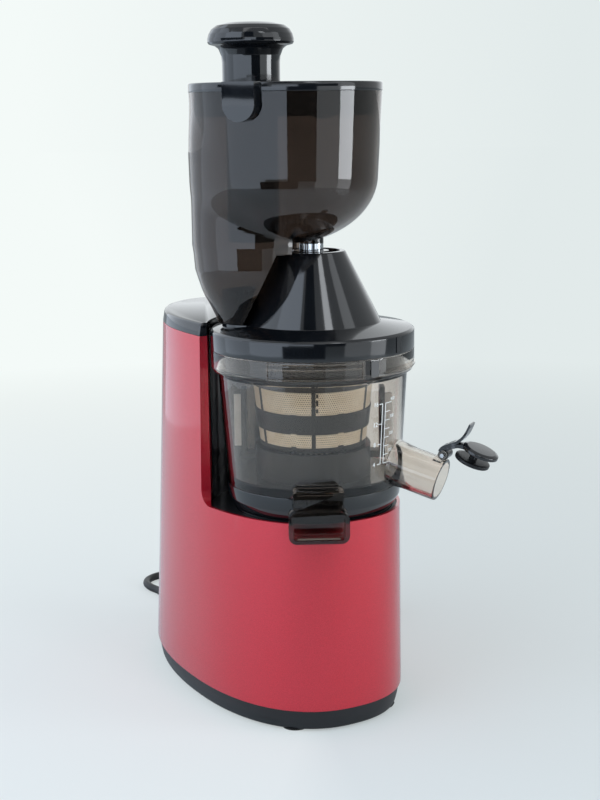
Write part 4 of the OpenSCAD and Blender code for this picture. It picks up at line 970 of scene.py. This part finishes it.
def mesh_cell(width, height, hole, thick=0.5):
    """A small plate with one round hole, facing the front."""
    w = width / 2
    h = height / 2
    outer = [(w, 0), (w, h), (0, h), (-w, h), (-w, 0), (-w, -h), (0, -h), (w, -h)]
    inner = [(hole * math.cos(math.tau * k / 8), hole * math.sin(math.tau * k / 8)) for k in range(8)]
    points = [(x, y, z) for y in (0, thick) for ring in (outer, inner) for x, z in ring]
    faces = []
    for k in range(8):
        n = (k + 1) % 8
        faces.append((k, n, 8 + n, 8 + k))
        faces.append((16 + n, 16 + k, 24 + k, 24 + n))
        faces.append((8 + k, 8 + n, 24 + n, 24 + k))
    mesh = bpy.data.meshes.new("cell")
    mesh.from_pydata(points, [], faces)
    return linked("cell", mesh)


def make_mesh():
    """Straw-coloured perforated sheet in two bands, its holes in staggered rows."""
    parts = []
    columns = 168
    for low, high, rows in MESH_BANDS:
        pitch = (high - low) / rows
        width = math.tau * strainer_at(high) / columns + 0.02
        cell = mesh_cell(width, pitch + 0.02, 0.42)
        radii = (strainer_at(low) - 0.15, strainer_at(high) - 0.15)
        parts.append(wrapped(cell, FINISHES["mesh_gold"], columns, rows, radii, (low, high), 0.5))
    place(gather("mesh", parts), "perforated_mesh", "bowl", "mesh_gold", ("strainer_mesh",), 25)
    dashes = []
    for low, high in ((238, 241), (243.5, 247.5), (249.5, 252)):
        r = strainer_at(low)
        dashes.append(arc_strip("dash", r - 0.1, r + 0.45, low, high, -27.6, -25.6, 1))
    place(gather("dashes", dashes), "seam_stitches", "bowl", "black_plastic")


# ---- lid and hopper ----
def make_lid():
    profile = [(CONE_R - 2.5, LID_Z), (49.8, LID_Z), (49.8, 292.6), (68, 292.6), (68, 269), (70.85, 269),
               (70.85, LID_Z), (FLANGE_R, LID_Z, 0.5), (FLANGE_R, LID_TOP_Z - 1.6, 1.4),
               (FLANGE_R - 1.8, LID_TOP_Z, 1.4), (CONE_R + 0.5, COLLAR_Z, 0.8), (CONE_TOP_R, CONE_Z, 1.2),
               (21, CONE_Z, 0.3), (21, CONE_Z - 2),
               (13, CONE_Z - 2), (13, CONE_Z, 0.4), (9.4, CONE_Z, 0.4), (9.4, CONE_Z - 7), (0, CONE_Z - 7),
               (0, CONE_Z - 10.5), (CONE_TOP_R - 2.5, CONE_Z - 10.5), (CONE_R - 2.5, COLLAR_Z)]
    lid = lathe("lid", rounded(profile, 0.3), 180)
    collar = lathe("collar", rounded([(0, 295), (24.9, 295), (24.9, 324, 0.6), (0, 324)], 0.3), 120, CHUTE)
    core = [(0, 294), (49.8, 294), (49.8, COLLAR_Z), (CONE_TOP_R - 1, CONE_Z), (0, CONE_Z)]
    cut(collar, lathe("core", core))
    cut(collar, turned(box("flat_side", (-54.6, -100, COLLAR_Z + 0.2), (110, 3.2, 360)), facing(VIEW_TURN)))
    join(lid, collar)
    opening = post("opening", 22.5, COLLAR_Z + 0.5, CONE_Z - 20, 120, CHUTE)
    cut(lid, cut(opening, cone_side("cone_side", 5.2)))
    place(lid, "lid_shell", "lid", "black_gloss", ("bowl_lid",))
    notch = [arc_strip("notch", FLANGE_R - 0.2, FLANGE_R + 0.5, 282.5, 294, 22, 27)]
    place(gather("notch", notch), "lid_mark", "lid", "black_gloss", look=FINISHES["black_plastic"])


# The chute's radius over its foot, drawn for a chute of 46 mm, and how far its wall is cut back at the pin
CHUTE_END = ((27.9, 0), (33.4, 12), (38.4, 21), (41.4, 30), (44.2, 39), (45.5, 56))
CHUTE_DRAWN_R = 46
PIN_VIEW_BACK = 14
PIN_VIEW_DROP = 36
# The cup and the chute flow into each other below this height: fully after a fall, over a width
FLOW_Z = 462
FLOW_FALL = 40
FLOW_WIDTH = 9
SKIN_STEPS = 216


def cone_side(name, grow):
    """What is taken from the chute in front of the cone, so that the cone stands free."""
    low = -CONE_R - 0.4 - grow
    top = CONE_Z + 0.4 + grow
    side = [(low, 294), (low, COLLAR_Z), (-CONE_TOP_R - 0.4 - grow, top), (70, top), (70, 294)]
    return turned(stack(name, [[(x, y, z) for x, z in side] for y in (grow, -120)]), facing(VIEW_TURN))


def chute_at(z):
    rise = z - CHUTE_FOOT_Z
    for (r0, z0), (r1, z1) in zip(CHUTE_END, CHUTE_END[1:]):
        if rise < z1:
            return blend(r0, r1, max(0, rise - z0) / (z1 - z0)) + CHUTE_R - CHUTE_DRAWN_R
    return CHUTE_R


def cup_at(z, inset):
    """The cup's radius: a slight cone down to its turn, then a quarter of an ellipse."""
    if z > CUP_TURN_Z:
        return blend(CUP_LOW_R, CUP_R, (z - CUP_TURN_Z) / (RIM_Z - CUP_TURN_Z)) - inset
    if z <= CUP_FLOOR_Z + inset:
        return 0
    depth = min(1, (CUP_TURN_Z - z) / (CUP_DEPTH - inset))
    return (CUP_LOW_R - inset) * math.sqrt(1 - depth * depth)


def hopper_side(name, inset, low, high):
    """The cup and its feed chute in one skin that flows from one into the other, round the chute's axis."""
    levels = [blend(low, CUP_FLOOR_Z - 2, k / 14) for k in range(14)]
    levels += [CUP_TURN_Z - (CUP_DEPTH - inset) * math.sin(math.radians(88 - 4 * k)) for k in range(22)]
    levels += [blend(CUP_TURN_Z, high, k / 9) for k in range(10)]
    reach = Vector((CUP[0] - CHUTE[0], CUP[1] - CHUTE[1]))
    rings = []
    for z in levels:
        cup_r = cup_at(z, inset)
        own = chute_at(z) - inset
        soft = FLOW_WIDTH * ease((FLOW_Z - z) / FLOW_FALL)
        ring = []
        for k in range(SKIN_STEPS):
            a = math.tau * k / SKIN_STEPS
            ahead = Vector((math.sin(a), -math.cos(a)))
            along = ahead.dot(reach)
            under = along * along - reach.length_squared + cup_r * cup_r
            other = along + math.sqrt(under) if under > 0 else 0
            # In front of the pin the chute's wall stands back
            across = CROSSWISE[0] * ahead.x + CROSSWISE[1] * ahead.y
            back = AWAY[0] * ahead.x + AWAY[1] * ahead.y
            clear = z < CUP_TURN_Z - PIN_VIEW_DROP + inset and across > 0 and back * own < inset
            mine = min(own, (CHUTE_OFFSET - PIN_VIEW_BACK - inset) / across) if clear else own
            r = max(mine, other)
            if other > 0 and soft > 0:
                r += max(0, soft - abs(mine - other)) ** 2 / soft / 4
            ring.append((CHUTE[0] + r * ahead.x, CHUTE[1] + r * ahead.y, z))
        rings.append(ring)
    return stack(name, rings)


def make_hopper():
    hopper = cut(hopper_side("hopper", 0, CHUTE_FOOT_Z, RIM_Z), cone_side("cone_side", 0))
    boss = CUP_FLOOR_Z - 0.1
    join(hopper, post("boss", 9, boss, boss + 8, 72))
    room = hopper_side("room", HOPPER_WALL, CHUTE_FOOT_Z - 1, RIM_Z + 1)
    cut(hopper, cut(room, cone_side("cone_side", HOPPER_WALL)))
    cone = [(0, LID_Z), (CONE_R + 0.4, LID_Z), (CONE_R + 0.4, COLLAR_Z), (CONE_TOP_R + 0.4, CONE_Z + 0.4),
            (0, CONE_Z + 0.4)]
    cut(hopper, lathe("cone", cone), post("pin_room", 11, CONE_Z - 10, boss, 72))
    place(hopper, "hopper_shell", "hopper", "smoke_dark", ("hopper",), 30)


def make_pin():
    """Chromed pin with fine upright ribs."""
    low = CONE_Z - 6
    high = CUP_FLOOR_Z - 0.1
    core = lathe("core", rounded([(0, low), (8.5, low), (8.5, high), (0, high)], 0.2), 96)
    rib = hull("rib", corners_of((-0.5, -0.4, low - high), (0.5, 0.4, 0)))
    ribs = wrapped(rib, FINISHES["chrome"], 36, 1, (8.5, 8.5), (high, high))
    place(gather("pin", [core, ribs]), "ribbed_pin", "hopper", "chrome", ("hopper_pin",))


def make_hopper_lid():
    skirt_z = RIM_Z - 17
    skirt_r = cup_at(skirt_z, HOPPER_WALL) - 0.4
    profile = [(0, RIM_TOP_Z - 3), (skirt_r - 1.8, RIM_TOP_Z - 3), (skirt_r - 1.8, skirt_z),
               (skirt_r, skirt_z), (skirt_r, RIM_Z), (CUP_R + 0.3, RIM_Z, 0.5), (CUP_R + 0.3, RIM_TOP_Z, 1.6),
               (0, RIM_TOP_Z)]
    lid = lathe("lid", rounded(profile, 0.4), 180, CUP)
    # Two round-ended tabs hang over the rim
    tab_r = 12
    tab_z = -15
    tongue = [(-tab_r, 0), (tab_r, 0), (tab_r, tab_z)]
    for k in range(1, 24):
        b = -math.pi * k / 24
        tongue.append((tab_r * math.cos(b), tab_z + tab_r * math.sin(b)))
    tongue.append((-tab_r, tab_z))
    for a in (-53, 127):
        tab = turned(extruded("tab", tongue, 0, 11), shift(0, -CUP_R, 0) @ tilt(90))
        cut(tab, post("clear", CUP_R + 0.3, -40, -6.5, 144))
        round_edges(tab, 1.4, 4)
        join(lid, turned(tab, shift(CUP[0], CUP[1], RIM_TOP_Z) @ facing(a)))
    cut(lid, post("hole", STEM_R + 0.4, 460, 490, 120, CHUTE))
    place(lid, "hopper_cover", "hopper_lid", "black_gloss", ("hopper_lid",))


def make_pusher():
    stem = [(0, STEM_LOW_Z), (STEM_R, STEM_LOW_Z, 1.5), (STEM_R, RIM_TOP_Z), (STEM_R - 2, RIM_TOP_Z),
            (STEM_R - 2, STEM_LOW_Z + 3, 1), (0, STEM_LOW_Z + 3)]
    place(lathe("stem", rounded(stem, 0.3), 120, CHUTE), "pusher_rod", "pusher", "black_gloss",
          ("pusher_stem",))
    z = RIM_TOP_Z
    brim = z + KNOB_H - 14.5
    knob = [(0, z), (21, z, 0.6), (21, brim - 14, 4), (21.6, brim - 9, 4), (23.4, brim - 4.3, 3),
            (26, brim - 2.4, 2), (30.1, brim - 1.4, 0.6), (31.3, brim + 0.2, 1), (31.3, brim + 2.6, 2),
            (30.4, brim + 6, 3), (28.4, brim + 9.4, 3), (25, brim + 12, 3), (17.8, brim + 13.8, 5),
            (0, brim + 14.5)]
    place(lathe("knob", rounded(knob, 0.5, 5), 144, CHUTE), "pusher_head", "pusher", "black_gloss",
          ("pusher_knob",), 40)


for make in (make_shell, make_recess, make_cap, make_plinth, make_switch, make_gland, make_ring, make_bowl,
             make_flange_marks, make_scale, make_pulp_spout, make_spout_cap, make_strainer, make_mesh,
             make_lid, make_hopper, make_pin, make_hopper_lid, make_pusher):
    make()

# The solids that stay get their slot's finish
for part in frame["record"]["subparts"]:
    look = nodes[part["node"]].data.materials
    look.clear()
    look.append(FINISHES[part["material_slot"]])


# ---- floor, background and light, in metres ----
# The middle of the object, and how far the lights and the flags stand from it
STAGE_Y = 0.05
LIGHT_FAR = 1.1
FLAG_FAR = 1.0


def towards(angle, distance, height):
    """A point at an angle to the right of the way from the object to the camera."""
    a = math.radians(angle)
    x = math.sin(a) * CROSSWISE[0] - math.cos(a) * AWAY[0]
    y = math.sin(a) * CROSSWISE[1] - math.cos(a) * AWAY[1]
    return Vector((x * distance, y * distance + STAGE_Y, height))


def seen_directly(tree):
    """1 where the camera sees a thing, also through clear plastic, and 0 in light and reflections."""
    rays = add(tree, "LightPath").outputs
    return maths(tree, "MAXIMUM", rays["Is Camera Ray"], rays["Is Transmission Ray"])


def backdrop(tree, ahead):
    """The pale backdrop, a little whiter to the left."""
    side = add(tree, "VectorMath", {0: ahead, 1: (*CROSSWISE, 0)}, operation="DOT_PRODUCT").outputs["Value"]
    share = add(tree, "MapRange", {"Value": side, "From Min": -0.22, "From Max": 0.22}).outputs[0]
    return tinted(tree, share, "#F4FAF8", "#E2EAEA", 0.1, 0.9)


def make_world():
    world = bpy.data.worlds.new("studio")
    bpy.context.scene.world = world
    world.use_nodes = True
    tree = world.node_tree
    tree.nodes.clear()
    ahead = add(tree, "TexCoord").outputs["Generated"]
    shown = add(tree, "Background", {"Color": backdrop(tree, ahead), "Strength": 1.0})
    # Reflections see the far side of the room brighter
    behind = add(tree, "VectorMath", {0: ahead, 1: (*AWAY, 0)}, operation="DOT_PRODUCT").outputs["Value"]
    far = add(tree, "MapRange", {
        "Value": behind, "From Min": 0.7, "From Max": 0.95, "To Min": 0.1, "To Max": 0.75}).outputs[0]
    glossy = add(tree, "LightPath").outputs["Is Glossy Ray"]
    strength = maths(tree, "ADD", 0.5, maths(tree, "MULTIPLY", glossy, far))
    lit = add(tree, "Background", {"Color": paint("#EEF3F6"), "Strength": strength})
    mix = add(tree, "MixShader", {0: seen_directly(tree), 1: lit.outputs[0], 2: shown.outputs[0]})
    add(tree, "OutputWorld", {"Surface": mix.outputs[0]})


def make_floor():
    """A matte disc that fades into the backdrop with its distance."""
    disc = turned(post("floor", 14000, -4, -0.3, 96), Matrix.Scale(MM, 4))
    mat, tree, shader, out, place_of = finish("pale_floor", {})
    tree.nodes.remove(shader)
    far = add(tree, "VectorMath", {0: place_of}, operation="LENGTH").outputs["Value"]
    fade = add(tree, "MapRange", {
        "Value": far, "From Min": 0.25, "From Max": 1.6, "To Min": 0.45, "To Max": 1.0}).outputs[0]
    matte = add(tree, "BsdfDiffuse", {"Color": paint("#DCE2E4")})
    outwards = add(tree, "VectorMath", {0: place_of}, operation="NORMALIZE").outputs[0]
    glow = add(tree, "Emission", {"Color": backdrop(tree, outwards), "Strength": 1.0})
    share = maths(tree, "MULTIPLY", fade, seen_directly(tree))
    mix = add(tree, "MixShader", {0: share, 1: matte.outputs[0], 2: glow.outputs[0]})
    tree.links.new(mix.outputs[0], out.inputs["Surface"])
    disc.data.materials.append(mat)


def make_panel(name, angle, width, height, bright, tint, distance, lift):
    """A soft light as large as a window, standing beside the object."""
    data = bpy.data.lights.new(name, "AREA")
    data.shape = "RECTANGLE"
    data.size = width
    data.size_y = height
    data.energy = bright * width * height * math.pi
    data.color = paint(tint)[:3]
    lamp = linked(name, data)
    spot = towards(angle, distance, lift + height / 2)
    aim = Vector((0, STAGE_Y, lift + height / 2)) - spot
    lamp.matrix_world = Matrix.Translation(spot) @ aim.to_track_quat("-Z", "Y").to_matrix().to_4x4()
    lamp.visible_camera = False
    lamp.visible_transmission = False


def make_flag(name, start, end, low, high):
    """A dark matte flag that only reflections see: it draws the dark stripe down glossy fronts."""
    points = []
    for k in range(9):
        spot = towards(blend(start, end, k / 8), FLAG_FAR, 0)
        points += [(spot.x, spot.y, low), (spot.x, spot.y, high)]
    faces = [(2 * k, 2 * k + 2, 2 * k + 3, 2 * k + 1) for k in range(8)]
    flag = solid(name, points, faces)
    flag.data.materials.append(FLAG_CLOTH)
    flag.visible_camera = False
    flag.visible_shadow = False
    flag.visible_diffuse = False
    flag.visible_transmission = False


# Soft lights: start and end in degrees to the right of the camera, how bright, lowest and highest point
LIGHTS = ((-150, -110, 0.7, 0, 1.8), (-110, -70, 1.2, 0, 1.8), (-70, -24, 1.9, 0, 2.0),
          (-24, 2, 1.9, 0.25, 0.5), (-14, 14, 1.5, 0.5, 0.62), (34, 64, 0.9, 0, 1.2), (64, 84, 2.2, 0, 0.25),
          (64, 84, 9.0, 0.25, 0.49), (64, 84, 1.2, 0.49, 1.5), (27, 42, 5.0, 1.2, 2.1))
# Flags in front of the lights: start and end, lowest and highest point
FLAGS = ((-30, 14, 0.002, 0.23), (2, 35, 0.23, 0.495), (-80, -18, 0.495, 0.62), (14, 60, 0.495, 0.62),
         (-17, 9, 1.0, 2.2))
FLAG_CLOTH = finish("flag_cloth", {"Roughness": 0.9, "Base Color": paint("#050506")})[0]

bpy.context.scene.view_settings.view_transform = "Standard"
make_world()
make_floor()
for k, (start, end, bright, low, high) in enumerate(LIGHTS):
    reach = 2 * LIGHT_FAR * math.tan(math.radians(abs(end - start) / 2))
    tint = "#DCEBFF" if start < 0 else "#F0F5FA"
    make_panel("window_%d" % k, (start + end) / 2, reach, high - low, bright, tint, LIGHT_FAR, low)
make_panel("ceiling", 20, 0.9, 0.9, 1.2, "#FFFFFF", 0.4, 1.3)
for k, (start, end, low, high) in enumerate(FLAGS):
    make_flag("flag_%d" % k, start, end, low, high)
